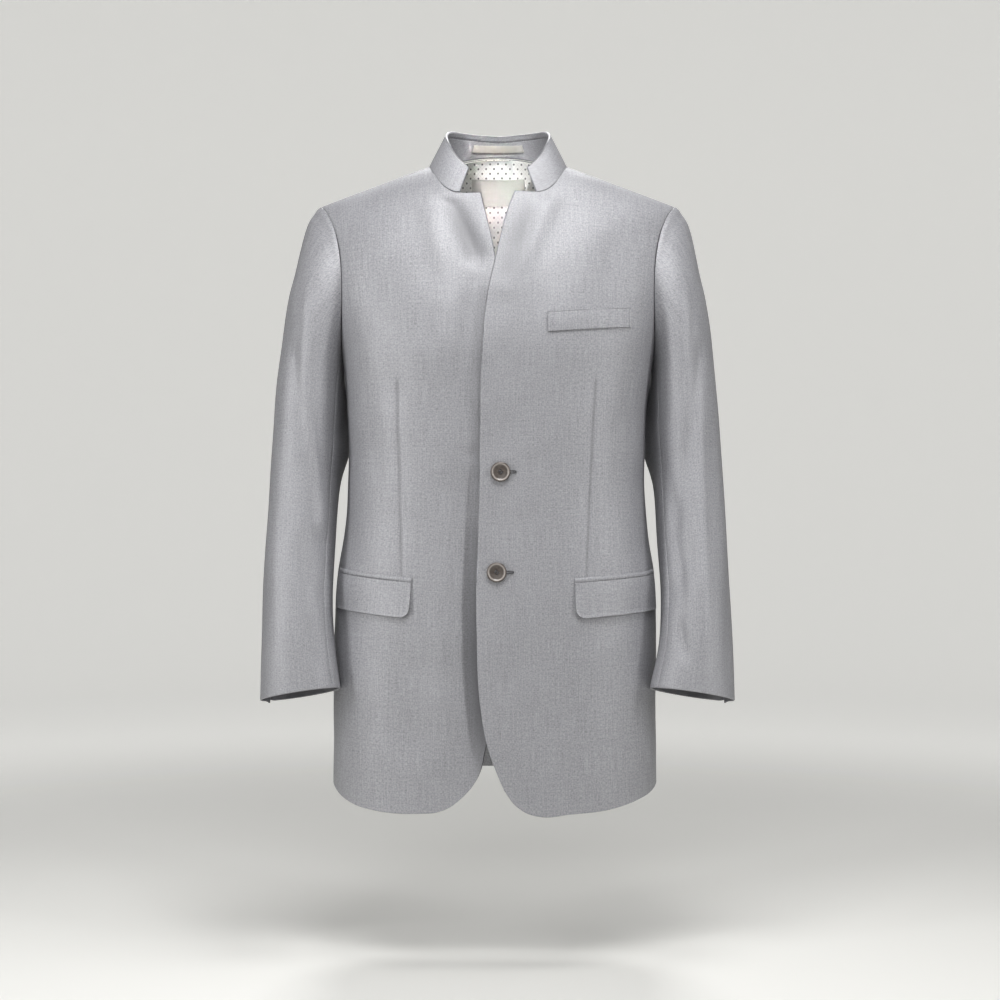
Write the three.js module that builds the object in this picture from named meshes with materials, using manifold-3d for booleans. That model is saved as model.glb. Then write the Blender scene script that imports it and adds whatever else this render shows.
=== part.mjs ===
// Blazer with a stand collar, filled out as worn but hollow. Millimetres, +Z up.
// The front faces -Y and the wearer's left is +X. The origin is the centre of the neck
// base, level with the side neck points, where the shoulders carry the garment.
import * as THREE from 'three';
import { mergeVertices } from 'three/addons/utils/BufferGeometryUtils.js';
import Module from 'manifold-3d';

const wasm = await Module();
wasm.setup();

// Driving dimensions
const cloth = { wall: 2.0, lining: 1.0, patch: 0.8, seam: 0.3, lay: 0.3, jet: 1.6, welt: 1.8 };
const shoulder = { neckX: 90, tipX: 232, slope: 0.373, round: 24, ridgeY: 3, foldZ: -250 };
const ring = { power: 2.5 };
const arch = { frontPower: 1.6, backPower: 3, backLift: 34 };
const armhole = { bottomZ: -262, frontBow: 13.5, backBow: 14.5, bowPower: 1.3 };
const seams = { frontSide: 88, sideBackLow: 126, halfGap: 0.08 };
const armholeJoin = {
  frontSide: 165, sideBack: 214, frontSteps: 10, sideSteps: 5, backSteps: 9, innerGap: 0.8,
};
const hem = { sideZ: -800, backZ: -799 };
const neck = { backZ: 23, endZ: -43, endAngle: 147, frontSteps: 7, backSteps: 6 };
const closing = { drop: 3.4, startX: -74, endX: -30 };
const button = { radius: 12.5, height: 4.2, rim: 2.6, hole: 1.1, holeAt: 2.3, sides: 24, lay: 0.6 };

// Half width, depths and sideways shift of the body's rings, from the photo's outline
const bodyRings = [
  { z: -840, half: 210.0, front: 133, back: 116, shift: -4.0 },
  { z: -700, half: 209.5, front: 132, back: 114, shift: -4.2 },
  { z: -592, half: 209.0, front: 131, back: 111, shift: -3.4 },
  { z: -526, half: 205.5, front: 129, back: 107, shift: -2.4 },
  { z: -487, half: 198.5, front: 127, back: 104, shift: -2.2 },
  { z: -435, half: 193.5, front: 125, back: 103, shift: -2.2 },
  { z: -370, half: 193.0, front: 125, back: 106, shift: -1.8 },
  { z: -304, half: 195.5, front: 126, back: 111, shift: -1.2 },
  { z: -250, half: 202.5, front: 127, back: 115, shift: 0 },
  { z: -200, half: 211.0, front: 127, back: 117, shift: 0 },
  { z: -150, half: 222.0, front: 126, back: 118, shift: 0 },
  { z: -100, half: 233.0, front: 124, back: 117, shift: 0 },
  { z: -53, half: 240.0, front: 122, back: 114, shift: 0 },
  { z: 40, half: 244.0, front: 121, back: 112, shift: 0 },
];

// Closing edge and hem corner of each front
const overEdge = [
  { z: -795, x: 8 }, { z: -777, x: 0 }, { z: -738, x: -13.6 }, { z: -690, x: -22 },
  { z: -600, x: -26.5 }, { z: -400, x: -23.5 }, { z: -250, x: -20.5 }, { z: -180, x: -14 },
  { z: -129, x: -3 }, { z: -64, x: 13 }, { z: -42, x: 21 },
];
const underEdge = [
  { z: -793, x: -34 }, { z: -781, x: -26 }, { z: -738, x: -13.6 }, { z: -690, x: 0 },
  { z: -620, x: 12 }, { z: -520, x: 20 }, { z: -400, x: 18 }, { z: -250, x: 8 },
  { z: -129, x: -3 }, { z: -42, x: -22 },
];
const overHem = [
  { x: 8, z: -795 }, { x: 17, z: -808 }, { x: 31, z: -820 }, { x: 52, z: -827 }, { x: 90, z: -825 },
  { x: 143, z: -821 }, { x: 178, z: -813 }, { x: 197, z: -806 }, { x: 206, z: -800 },
];
const underHem = [
  { x: -214, z: -800 }, { x: -206, z: -807 }, { x: -184, z: -818 }, { x: -156, z: -823 },
  { x: -98, z: -824 }, { x: -77, z: -822 }, { x: -61, z: -816 }, { x: -45, z: -804 }, { x: -34, z: -793 },
];

// Largest soft folds of the fronts: from one end to the other, bow, reach and depth. The
// deepest is a long hollow of the under front beside the closing edge.
const overFolds = [
  { x0: 66, z0: -52, x1: 12, z1: -170, bow: 0, reach: 16, depth: 2.6 },
  { x0: 150, z0: -120, x1: 128, z1: -190, bow: 0, reach: 20, depth: -1.6 },
];
const underFolds = [
  { x0: -60, z0: -52, x1: -26, z1: -120, bow: 0, reach: 12, depth: -4.4 },
  { x0: -34, z0: -170, x1: -33, z1: -400, bow: 5, reach: 12, depth: -4.0 },
  { x0: -28, z0: -430, x1: -27, z1: -768, bow: 10, reach: 14, depth: -9.5 },
  { x0: -150, z0: -170, x1: -128, z1: -300, bow: 0, reach: 20, depth: -1.6 },
];

// Sleeve rings from the armhole to the cuff: outer and inner point, centre, half depth
const sleeveRings = [
  { outX: 232, outZ: -53, inX: 201.6, inZ: -262, midY: 3, deep: 62, tilt: 0, shift: 0 },
  { outX: 249, outZ: -76, inX: 202.2, inZ: -274, midY: 4, deep: 68, tilt: 0, shift: 0 },
  { outX: 260, outZ: -118, inX: 202.6, inZ: -290, midY: 5, deep: 73, tilt: 0, shift: -0.5 },
  { outX: 270, outZ: -172, inX: 202.8, inZ: -310, midY: 6, deep: 76, tilt: 0, shift: -1 },
  { outX: 279, outZ: -232, inX: 203.0, inZ: -336, midY: 6, deep: 76, tilt: 0, shift: -1.5 },
  { outX: 286, outZ: -300, inX: 204.0, inZ: -370, midY: 2, deep: 74, tilt: 0, shift: -2 },
  { outX: 291, outZ: -374, inX: 206.0, inZ: -416, midY: -6, deep: 71, tilt: 0, shift: -2 },
  { outX: 295, outZ: -456, inX: 207.5, inZ: -478, midY: -24, deep: 66, tilt: 1, shift: -2 },
  { outX: 298, outZ: -548, inX: 210.0, inZ: -552, midY: -50, deep: 58, tilt: 3, shift: -2 },
  { outX: 299.5, outZ: -632, inX: 205.5, inZ: -624, midY: -70, deep: 50, tilt: 6, shift: -1 },
  { outX: 300, outZ: -689, inX: 198, inZ: -673, midY: -79, deep: 46, tilt: 8, shift: -1 },
];
const leftFlare = 5;
const sleeveSeams = { frontStep: 9, backStep: 2, halfGap: 0.18, rows: 16, cuffTwist: 80 };

// Soft folds of the sleeves: angle round the arm, height from shoulder 0 to cuff 1, and
// the height in degrees, so that reach is alike both ways
const foldSpan = 300;
const sleeveFolds = [
  { a0: 62, v0: 0.40, a1: 118, v1: 0.66, bow: 0, reach: 13, depth: -3.2 },
  { a0: 20, v0: 0.30, a1: 35, v1: 0.72, bow: 0, reach: 16, depth: 2.4 },
  { a0: 100, v0: 0.74, a1: 140, v1: 0.80, bow: 0, reach: 10, depth: -2.6 },
  { a0: 225, v0: 0.62, a1: 300, v1: 0.68, bow: 0, reach: 11, depth: -3.0 },
  { a0: 212, v0: 0.22, a1: 214, v1: 0.50, bow: 0, reach: 26, depth: 16 },
];

// Collar: height of the top edge by angle round the neck, 0 at the back
const collarTop = [
  { angle: 0, z: 52.8 }, { angle: 44, z: 54 }, { angle: 68, z: 52.4 }, { angle: 80, z: 48.5 },
  { angle: 90, z: 43 }, { angle: 108, z: 31.5 }, { angle: 128, z: 10 }, { angle: 147, z: -8.5 },
];
const collar = {
  topX: 68, topBack: 62, topFront: 64, topY: 4, innerDrop: 6.5, lift: 1.65,
  innerWall: 1.6, layers: 0.5, rows: 3,
};

// What lies on the panels
const liningPiece = {
  topDrop: 2.5, sideDrop: 12, halfWidth: 150, lowZ: -205, bow: 14, outAngle: 122, clear: 1.9,
};
const label = { x0: -37.4, x1: 37.4, top: -0.6, bottom: -34.8 };
const tab = { halfWidth: 35.6, ringX: 79.7, low: 29.3, high: 39.3, clear: 0.9, steps: 8 };
const welt = { x0: 61.6, x1: 167, z0: -201, z1: -192.5, high: 25.3 };
const pockets = [
  { side: 'left', sign: 1, frontX: 94.7, endAngle: 78, frontZ: -532.5, endZ: -524 },
  { side: 'right', sign: -1, frontX: -107, endAngle: 77, frontZ: -532, endZ: -521.6 },
];
const flap = { jet: 5.6, high: 45, cornerX: 11, cornerZ: 12, standOff: 3.0, lean: 0.3 };
const buttons = [
  { name: 'button_upper', x: 3, z: -400 },
  { name: 'button_lower', x: -1.7, z: -524.5 },
];

const colours = { cloth: 0xb4b4ba, lining: 0xebe9e2, patch: 0xd9d5ca, button: 0x786c64 };

const rad = THREE.MathUtils.degToRad;
const deg = THREE.MathUtils.radToDeg;
const clamp = THREE.MathUtils.clamp;
const lerp = THREE.MathUtils.lerp;
const smooth = THREE.MathUtils.smoothstep;

// Smooth curve through a table's rows, sorted by one column: cubic Hermite pieces
function curve(rows, at, value) {
  const p = rows.map((row) => row[at]);
  const q = rows.map((row) => row[value]);
  const chord = (i) => (q[i + 1] - q[i]) / (p[i + 1] - p[i]);
  const slope = q.map((_, i) => {
    if (i === 0) return chord(0);
    if (i === q.length - 1) return chord(i - 1);
    const before = p[i] - p[i - 1];
    const after = p[i + 1] - p[i];
    return (chord(i - 1) * after + chord(i) * before) / (before + after);
  });
  return (s) => {
    let i = 0;
    while (i < p.length - 2 && s > p[i + 1]) i += 1;
    const step = p[i + 1] - p[i];
    const t = clamp((s - p[i]) / step, 0, 1);
    const [t2, t3] = [t * t, t * t * t];
    return (2 * t3 - 3 * t2 + 1) * q[i] + (t3 - 2 * t2 + t) * step * slope[i]
      + (3 * t2 - 2 * t3) * q[i + 1] + (t3 - t2) * step * slope[i + 1];
  };
}

const half = curve(bodyRings, 'z', 'half');
const frontDepth = curve(bodyRings, 'z', 'front');
const backDepth = curve(bodyRings, 'z', 'back');
const shift = curve(bodyRings, 'z', 'shift');

// Height of the shoulder ridge above x; behind the neck the back reaches higher
function ridgeZ(x, back) {
  const out = Math.hypot(x, shoulder.round) - Math.hypot(shoulder.neckX, shoulder.round);
  const line = -out * shoulder.slope;
  const rise = Math.max(0, 1 - (x / shoulder.neckX) ** 2);
  return back ? line + arch.backLift * rise : line;
}

// How much of the depth is left at height z: 1 up to the chest, 0 on the shoulder ridge
function archAt(x, z, back) {
  const w = clamp((z - shoulder.foldZ) / (ridgeZ(x, back) - shoulder.foldZ), 0, 1);
  return Math.sqrt(Math.max(0, 1 - w ** (back ? arch.backPower : arch.frontPower)));
}

// Body surface: angle from the front centre, positive to +X, and height. Each ring is a
// superellipse, and its depth narrows to the ridge over the shoulders.
function body(angle, z) {
  const turn = rad(angle);
  const back = Math.abs(angle) > 90;
  const [s, c] = [Math.abs(Math.sin(turn)), Math.abs(Math.cos(turn))];
  const depth = back ? backDepth(z) : frontDepth(z);
  const reach = 1 / ((s / half(z)) ** ring.power + (c / depth) ** ring.power) ** (1 / ring.power);
  const x = Math.sign(angle) * reach * s;
  const y = reach * c * archAt(x, z, back) * (back ? 1 : -1);
  const centreY = shoulder.ridgeY * smooth(z, shoulder.foldZ, 0);
  return new THREE.Vector3(x + shift(z), centreY + y, z);
}

// Angle on the body at a given x and height
function angleAt(x, z, back = false) {
  const across = x - shift(z);
  const part = clamp(Math.abs(across) / half(z), 0, 1);
  const depth = (back ? backDepth(z) : frontDepth(z)) * (1 - part ** ring.power) ** (1 / ring.power);
  const angle = deg(Math.atan2(Math.abs(across), depth));
  return (across < 0 ? -1 : 1) * (back ? 180 - angle : angle);
}

// Outward direction of the body surface, level across the shoulder seam on the ridge
function bodyNormal(angle, z) {
  const back = Math.abs(angle) > 90;
  const here = body(angle, z);
  const room = ridgeZ(here.x, back) - z;
  if (room < 0.05) return new THREE.Vector3(Math.sign(angle) * shoulder.slope, 0, 1).normalize();
  const up = Math.min(0.4, room / 3);
  const turn = 0.05;
  const along = body(angle + turn, z).sub(body(angle - turn, z));
  const rise = body(angle, z + up).sub(body(angle, z - up));
  return along.cross(rise).normalize();
}

// Depth of soft folds at a place: each falls off as a bell curve from its line, which may
// bow to one side
function foldDepth(folds, a, b, keys) {
  let sum = 0;
  for (const fold of folds) {
    const [ax, ay, bx, by] = keys.map((key) => fold[key]);
    const length = Math.hypot(bx - ax, by - ay);
    const [ux, uy] = [(bx - ax) / length, (by - ay) / length];
    const along = (a - ax) * ux + (b - ay) * uy;
    const t = clamp(along / length, 0, 1);
    const aside = (a - ax) * uy - (b - ay) * ux - fold.bow * Math.sin(Math.PI * t);
    const away = Math.hypot(aside, along - t * length) / fold.reach;
    sum += fold.depth * Math.exp(-away * away);
  }
  return sum;
}

// How far the front stands off the body surface: folds, and the under front's drop
function frontLift(x, z, under) {
  const drop = under ? closing.drop * smooth(x, closing.startX, closing.endX) : 0;
  const fade = 1 - smooth(z, -60, -44);
  return foldDepth(under ? underFolds : overFolds, x, z, ['x0', 'z0', 'x1', 'z1']) * fade - drop;
}

// Armhole on the body: 0 at the shoulder tip, 90 in front, 180 underarm, 270 behind
const armholeTop = { x: shoulder.tipX, z: ridgeZ(shoulder.tipX, false) };
function armholeAt(turn) {
  const back = turn > 180;
  const top = Math.abs(angleAt(armholeTop.x, armholeTop.z, back));
  const near = (1 + Math.cos(rad(turn))) / 2;
  const bow = (back ? armhole.backBow : armhole.frontBow)
    * Math.abs(Math.sin(rad(turn))) ** armhole.bowPower;
  const lean = Math.abs(90 - top) * near + bow;
  return {
    angle: back ? 90 + lean : 90 - lean,
    z: lerp(armhole.bottomZ, armholeTop.z, near),
  };
}
const loopNormal = new THREE.Vector3(0.99, 0, 0.14).normalize();

// Sleeve on the +X side: angle round the arm as for the armhole, v from shoulder to cuff
const stations = sleeveRings.map((row, i) => ({ ...row, v: i / (sleeveRings.length - 1) }));
const sleeveKeys = ['outX', 'outZ', 'inX', 'inZ', 'midY', 'deep', 'tilt', 'shift'];
const sleeveCurves = Object.fromEntries(sleeveKeys.map((key) => [key, curve(stations, 'v', key)]));
function sleeveRing(turn, v, sign) {
  const c = sleeveCurves;
  const [cos, sin] = [Math.cos(rad(turn)), Math.sin(rad(turn))];
  const flare = sign > 0 ? leftFlare * smooth(v, 0.86, 1) : 0;
  const [outX, outZ, inX, inZ] = [c.outX(v), c.outZ(v), c.inX(v) - flare, c.inZ(v)];
  return new THREE.Vector3(
    (outX + inX) / 2 + (outX - inX) / 2 * cos + sign * c.shift(v),
    c.midY(v) - c.deep(v) * sin,
    (outZ + inZ) / 2 + (outZ - inZ) / 2 * cos + c.tilt(v) * sin,
  );
}
function sleeve(turn, v, sign) {
  const loop = armholeAt(turn);
  const edge = body(sign * loop.angle, loop.z);
  edge.x *= sign;
  edge.sub(sleeveRing(turn, 0, sign));
  return sleeveRing(turn, v, sign).addScaledVector(edge, 1 - smooth(v, 0, 0.3));
}
function sleeveNormal(turn, v, sign) {
  const [low, high] = [Math.max(0, v - 0.004), Math.min(1, v + 0.004)];
  const round = sleeve(turn + 0.5, v, sign).sub(sleeve(turn - 0.5, v, sign));
  const down = sleeve(turn, high, sign).sub(sleeve(turn, low, sign));
  return round.cross(down).normalize();
}
const wrap = (turn) => (turn + 360) % 360;

// Shared direction of the two walls where body and sleeve meet over a convex seam
function armholeMitre(turn, own, sign) {
  const loop = armholeAt(turn);
  const bodyOut = bodyNormal(sign * loop.angle, loop.z);
  bodyOut.x *= sign;
  const sleeveOut = sleeveNormal(turn, 0, sign);
  const onward = sleeve(turn, 0.02, sign).sub(sleeve(turn, 0, sign));
  if (onward.dot(bodyOut) > 0) return own === 'body' ? bodyOut : sleeveOut;
  const both = bodyOut.clone().add(sleeveOut).normalize();
  both.divideScalar(Math.max(0.6, both.dot(bodyOut)));
  const apart = armholeJoin.innerGap / cloth.wall / 2;
  return both.addScaledVector(loopNormal, own === 'body' ? apart : -apart);
}

// Angles round the armhole where panels and sleeves have their shared edge points
const steps = (from, to, count) => Array.from({ length: count }, (_, i) => lerp(from, to, i / count));
const armholeTurns = [
  ...steps(0, armholeJoin.frontSide, armholeJoin.frontSteps),
  ...steps(armholeJoin.frontSide, armholeJoin.sideBack, armholeJoin.sideSteps),
  ...steps(armholeJoin.sideBack, 360, armholeJoin.backSteps),
];

// Closed wall between two grids of points, outer and inner, with its four edges joined
function wallMesh(name, outer, inner, colour) {
  const rows = outer.length;
  const cols = outer[0].length;
  const points = [...outer.flat(), ...inner.flat()];
  const at = (i, j, layer) => layer * rows * cols + i * cols + j;
  const faces = [];
  const quad = (a, b, c, d) => faces.push(a, b, c, a, c, d);
  for (let i = 0; i < rows - 1; i += 1) {
    for (let j = 0; j < cols - 1; j += 1) {
      quad(at(i, j, 0), at(i, j + 1, 0), at(i + 1, j + 1, 0), at(i + 1, j, 0));
      quad(at(i, j, 1), at(i + 1, j, 1), at(i + 1, j + 1, 1), at(i, j + 1, 1));
    }
  }
  for (let j = 0; j < cols - 1; j += 1) {
    quad(at(0, j, 1), at(0, j + 1, 1), at(0, j + 1, 0), at(0, j, 0));
    quad(at(rows - 1, j, 0), at(rows - 1, j + 1, 0), at(rows - 1, j + 1, 1), at(rows - 1, j, 1));
  }
  for (let i = 0; i < rows - 1; i += 1) {
    quad(at(i, 0, 0), at(i + 1, 0, 0), at(i + 1, 0, 1), at(i, 0, 1));
    quad(at(i, cols - 1, 1), at(i + 1, cols - 1, 1), at(i + 1, cols - 1, 0), at(i, cols - 1, 0));
  }
  return closedMesh(name, points, faces, colour);
}

// Mesh from points and triangles, turned outwards if its volume comes out negative
function closedMesh(name, points, faces, colour) {
  let volume = 0;
  for (let k = 0; k < faces.length; k += 3) {
    const [a, b, c] = [points[faces[k]], points[faces[k + 1]], points[faces[k + 2]]];
    volume += a.dot(b.clone().cross(c));
  }
  if (volume < 0) faces.reverse();
  const geometry = new THREE.BufferGeometry();
  const flat = points.flatMap((p) => [p.x, p.y, p.z]);
  geometry.setAttribute('position', new THREE.Float32BufferAttribute(flat, 3));
  geometry.setIndex(faces);
  return finished(name, geometry, colour);
}

function finished(name, geometry, colour) {
  geometry.computeVertexNormals();
  const hard = colour === colours.button;
  const material = new THREE.MeshStandardMaterial({ color: colour, roughness: hard ? 0.35 : 0.75 });
  const mesh = new THREE.Mesh(geometry, material);
  mesh.name = name;
  return mesh;
}

// Wall on the body surface: place(i, j) gives angle, height, lift and any changes
function bodyWall(name, rows, cols, place, wall, colour) {
  const outer = [];
  const inner = [];
  for (let i = 0; i <= rows; i += 1) {
    outer.push([]);
    inner.push([]);
    for (let j = 0; j <= cols; j += 1) {
      const spot = place(i / rows, j / cols, i, j);
      const normal = bodyNormal(spot.angle, spot.z);
      const base = body(spot.angle, spot.z).addScaledVector(normal, spot.lift ?? 0);
      if (spot.move) base.add(spot.move);
      outer[i].push(base);
      inner[i].push(base.clone().addScaledVector(spot.inward ?? normal, -wall));
    }
  }
  return wallMesh(name, outer, inner, colour);
}

// Point of the neck seam: 0 at the back, 90 at the side, endAngle at the collar's end
function neckSeam(angle, sign) {
  const x = sign * shoulder.neckX * Math.sin(rad(angle));
  const past = Math.max(0, angle - 90) / (neck.endAngle - 90);
  const z = angle <= 90 ? neck.backZ * Math.cos(rad(angle)) ** 2 : neck.endZ * Math.sin(rad(90 * past)) ** 2;
  return { x, z, back: angle < 90 };
}

// Front panel: lower part from hem to armhole, upper part from there to neck and shoulder
const frontGrid = { low: 13, high: armholeJoin.frontSteps, corner: 2, neck: neck.frontSteps, shoulder: 7 };
function frontPanel(side, sign, edgeRows, hemRows, under) {
  const grid = frontGrid;
  const cols = grid.corner + grid.neck + grid.shoulder;
  const rows = grid.low + grid.high;
  const edgeX = curve(edgeRows, 'z', 'x');
  const hemZ = curve(hemRows, 'x', 'z');
  const corner = sign > 0 ? hemRows[0] : hemRows.at(-1);
  const topZ = edgeRows.at(-1).z;
  const joint = armholeAt(armholeJoin.frontSide);
  const sideAngle = (z) => sign * (lerp(seams.frontSide, joint.angle,
    smooth(z, hem.sideZ, joint.z)) - seams.halfGap);
  const hemPoint = (t) => {
    if (t === 1) return { angle: sideAngle(hem.sideZ), z: hem.sideZ };
    const angle = lerp(angleAt(corner.x, corner.z), sideAngle(hem.sideZ), t);
    return { angle, z: hemZ(body(angle, hem.sideZ).x) };
  };
  const topPoint = (j) => {
    if (j <= grid.corner) {
      const end = neckSeam(neck.endAngle, sign);
      const x = lerp(edgeRows.at(-1).x, end.x, j / grid.corner);
      const z = lerp(topZ, end.z, j / grid.corner);
      return { angle: angleAt(x, z), z };
    }
    if (j <= grid.corner + grid.neck) {
      const turn = lerp(neck.endAngle, 90, (j - grid.corner) / grid.neck);
      const { x, z } = neckSeam(turn, sign);
      return { angle: angleAt(x, z), z };
    }
    const x = sign * lerp(shoulder.neckX, shoulder.tipX, (j - grid.corner - grid.neck) / grid.shoulder);
    const z = ridgeZ(x, false);
    return { angle: angleAt(x, z), z };
  };
  const place = (_, t, i, j) => {
    let spot;
    let inward;
    const move = new THREE.Vector3();
    if (i <= grid.low) {
      const v = i / grid.low;
      const low = hemPoint(t);
      const edge = (s) => {
        const z = lerp(corner.z, joint.z, s);
        return { angle: angleAt(edgeX(z), z), z };
      };
      const z0 = lerp(corner.z, joint.z, v);
      const z1 = lerp(hem.sideZ, joint.z, v);
      const angleRow = lerp(edge(v).angle, sideAngle(z1), t);
      const zRow = lerp(z0, z1, t);
      const straight = {
        angle: lerp(edge(0).angle, sideAngle(hem.sideZ), t),
        z: lerp(corner.z, hem.sideZ, t),
      };
      spot = {
        angle: angleRow + (1 - v) * (low.angle - straight.angle),
        z: zRow + (1 - v) * (low.z - straight.z),
      };
    } else {
      const v = (i - grid.low) / grid.high;
      const rise = Math.sin(rad(90 * v));
      const loop = armholeAt(armholeJoin.frontSide * (1 - v));
      const zEdge = lerp(joint.z, topZ, rise);
      const edge = { angle: angleAt(edgeX(zEdge), zEdge), z: zEdge };
      const top = topPoint(j);
      const [first, last] = [topPoint(0), topPoint(cols)];
      const side = { angle: sign * loop.angle, z: loop.z };
      spot = {
        angle: lerp(edge.angle, side.angle, t)
          + rise * (top.angle - lerp(first.angle, last.angle, t)),
        z: lerp(edge.z, side.z, t) + rise * (top.z - lerp(first.z, last.z, t)),
      };
      if (i === rows) spot = { ...top };
      if (j === cols) {
        inward = armholeMitre(armholeJoin.frontSide * (1 - v), 'body', sign);
        inward.x *= sign;
        move.addScaledVector(loopNormal, -cloth.seam / 2).setX(move.x * sign);
      }
      if (i === rows && j > grid.corner + grid.neck) move.y -= cloth.seam / 2;
    }
    const here = body(spot.angle, spot.z);
    return { ...spot, lift: frontLift(here.x, spot.z, under), inward, move };
  };
  return bodyWall(`front_${side}`, rows, cols, place, cloth.wall, colours.cloth);
}

const sideBackAngle = (z) => lerp(seams.sideBackLow, armholeAt(armholeJoin.sideBack).angle,
  smooth(z, hem.sideZ, armholeAt(armholeJoin.sideBack).z));
const hemAround = (angle) => lerp(hem.sideZ, hem.backZ, (Math.abs(angle) - seams.frontSide) / 92);

// Side body: from the front seam to the back seam, up to the bottom of the armhole
const sideGrid = { rows: 13, cols: armholeJoin.sideSteps };
function sidePanel(side, sign) {
  const joint = armholeAt(armholeJoin.frontSide);
  const place = (v, t, i) => {
    const turn = lerp(armholeJoin.frontSide, armholeJoin.sideBack, t);
    const top = armholeAt(turn);
    const zMid = lerp(hem.sideZ, top.z, v);
    const low = lerp(seams.frontSide, joint.angle, smooth(zMid, hem.sideZ, joint.z));
    const angle = lerp(low + seams.halfGap, sideBackAngle(zMid) - seams.halfGap, t);
    const z = lerp(hemAround(angle), top.z, v);
    const atTop = i === sideGrid.rows;
    const inward = atTop ? armholeMitre(turn, 'body', sign) : undefined;
    if (atTop) inward.x *= sign;
    const move = new THREE.Vector3();
    if (atTop) move.addScaledVector(loopNormal, -cloth.seam / 2).setX(move.x * sign);
    const spread = (t - 0.5) * -2 * seams.halfGap;
    return { angle: sign * (atTop ? top.angle + spread : angle), z, inward, move };
  };
  return bodyWall(`side_${side}`, sideGrid.rows, sideGrid.cols, place, cloth.wall, colours.cloth);
}

// Back panel: from the side seam to the centre seam, up to the shoulder and the neck
const backGrid = { low: 12, high: armholeJoin.backSteps, neck: neck.backSteps, shoulder: 6 };
function backPanel(side, sign) {
  const grid = backGrid;
  const cols = grid.neck + grid.shoulder;
  const rows = grid.low + grid.high;
  const joint = armholeAt(armholeJoin.sideBack);
  const centre = 180 - seams.halfGap;
  const topPoint = (j) => {
    if (j < grid.shoulder) {
      const x = lerp(shoulder.tipX, shoulder.neckX, j / grid.shoulder);
      const z = ridgeZ(x, true);
      return { angle: angleAt(x, z, true), z };
    }
    const turn = lerp(90, 0, (j - grid.shoulder) / grid.neck);
    const { x, z } = neckSeam(turn, 1);
    return { angle: Math.min(centre, angleAt(x, z, true)), z };
  };
  const place = (_, t, i, j) => {
    let spot;
    let inward;
    const move = new THREE.Vector3();
    if (i <= grid.low) {
      const v = i / grid.low;
      const z = lerp(hem.sideZ, joint.z, v);
      const angle = lerp(sideBackAngle(z) + seams.halfGap, centre, t);
      spot = { angle, z: lerp(hemAround(angle), joint.z, v) };
    } else {
      const v = (i - grid.low) / grid.high;
      const rise = Math.sin(rad(90 * v));
      const turn = lerp(armholeJoin.sideBack, 360, v);
      const loop = armholeAt(turn);
      const topZ = topPoint(cols).z;
      const zCentre = lerp(joint.z, topZ, rise);
      const top = topPoint(j);
      const [first, last] = [topPoint(0), topPoint(cols)];
      spot = {
        angle: lerp(loop.angle, centre, t) + rise * (top.angle - lerp(first.angle, last.angle, t)),
        z: lerp(loop.z, zCentre, t) + rise * (top.z - lerp(first.z, last.z, t)),
      };
      if (i === rows) spot = { ...top };
      if (j === 0) {
        inward = armholeMitre(wrap(turn), 'body', sign);
        inward.x *= sign;
        move.addScaledVector(loopNormal, -cloth.seam / 2).setX(move.x * sign);
      }
      if (i === rows && j <= grid.shoulder) move.y += cloth.seam / 2;
    }
    if (j === cols) inward = bodyNormal(sign * spot.angle, spot.z).setX(0);
    return { angle: sign * spot.angle, z: spot.z, inward, move };
  };
  return bodyWall(`back_${side}`, rows, cols, place, cloth.wall, colours.cloth);
}

// One part of a sleeve between two of the shared angles, from the armhole to the cuff.
// Down the arm the back seam turns outwards; backEnd is the column that lies on it.
function sleevePanel(name, sign, from, to, backEnd) {
  const { rows, halfGap, cuffTwist } = sleeveSeams;
  const count = armholeTurns.length;
  const cols = to - from;
  const turnOf = (j, v) => {
    const step = from + j;
    const turn = armholeTurns[(step + count) % count] + (step < 0 ? -360 : 0);
    const gap = (j === 0 ? halfGap : 0) - (j === cols ? halfGap : 0);
    const twist = cuffTwist * smooth(v, 0.05, 1) * (1 - Math.abs(j - backEnd) / cols);
    return wrap(turn + gap + twist);
  };
  const keys = ['a0', 'v0', 'a1', 'v1'];
  const folds = sleeveFolds.map((f) => ({ ...f, v0: f.v0 * foldSpan, v1: f.v1 * foldSpan }));
  const foldAt = (turn, v) => foldDepth(folds, turn, v * foldSpan, keys)
    + foldDepth(folds, turn - 360, v * foldSpan, keys);
  const outer = [];
  const inner = [];
  for (let i = 0; i <= rows; i += 1) {
    const v = i / rows;
    outer.push([]);
    inner.push([]);
    for (let j = 0; j <= cols; j += 1) {
      const turn = turnOf(j, v);
      const fade = smooth(v, 0.1, 0.3) * (1 - smooth(v, 0.9, 1));
      const lift = foldAt(turn, v) * fade;
      const normal = sleeveNormal(turn, v, sign);
      const point = sleeve(turn, v, sign).addScaledVector(normal, lift);
      let inward = normal;
      if (i === 0) {
        inward = armholeMitre(turn, 'sleeve', sign);
        point.addScaledVector(loopNormal, cloth.seam / 2);
      }
      const deep = point.clone().addScaledVector(inward, -cloth.wall);
      for (const p of [point, deep]) p.x *= sign;
      outer[i].push(point);
      inner[i].push(deep);
    }
  }
  return wallMesh(name, outer, inner, colours.cloth);
}

// Collar wall: outer layer from seam to top edge, inner layer a wall's depth inside it
function collarPoint(angle, sign, h) {
  const { x, z, back } = neckSeam(angle, sign);
  const low = body(angleAt(x, z, back), z);
  if (angle === 90) low.set(x, shoulder.ridgeY, z);
  const depth = angle < 90 ? collar.topBack : collar.topFront;
  const topZ = curve(collarTop, 'angle', 'z')(angle);
  const top = new THREE.Vector3(
    sign * collar.topX * Math.sin(rad(angle)),
    collar.topY + depth * Math.cos(rad(angle)),
    topZ,
  );
  return low.lerp(top, h);
}

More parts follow.
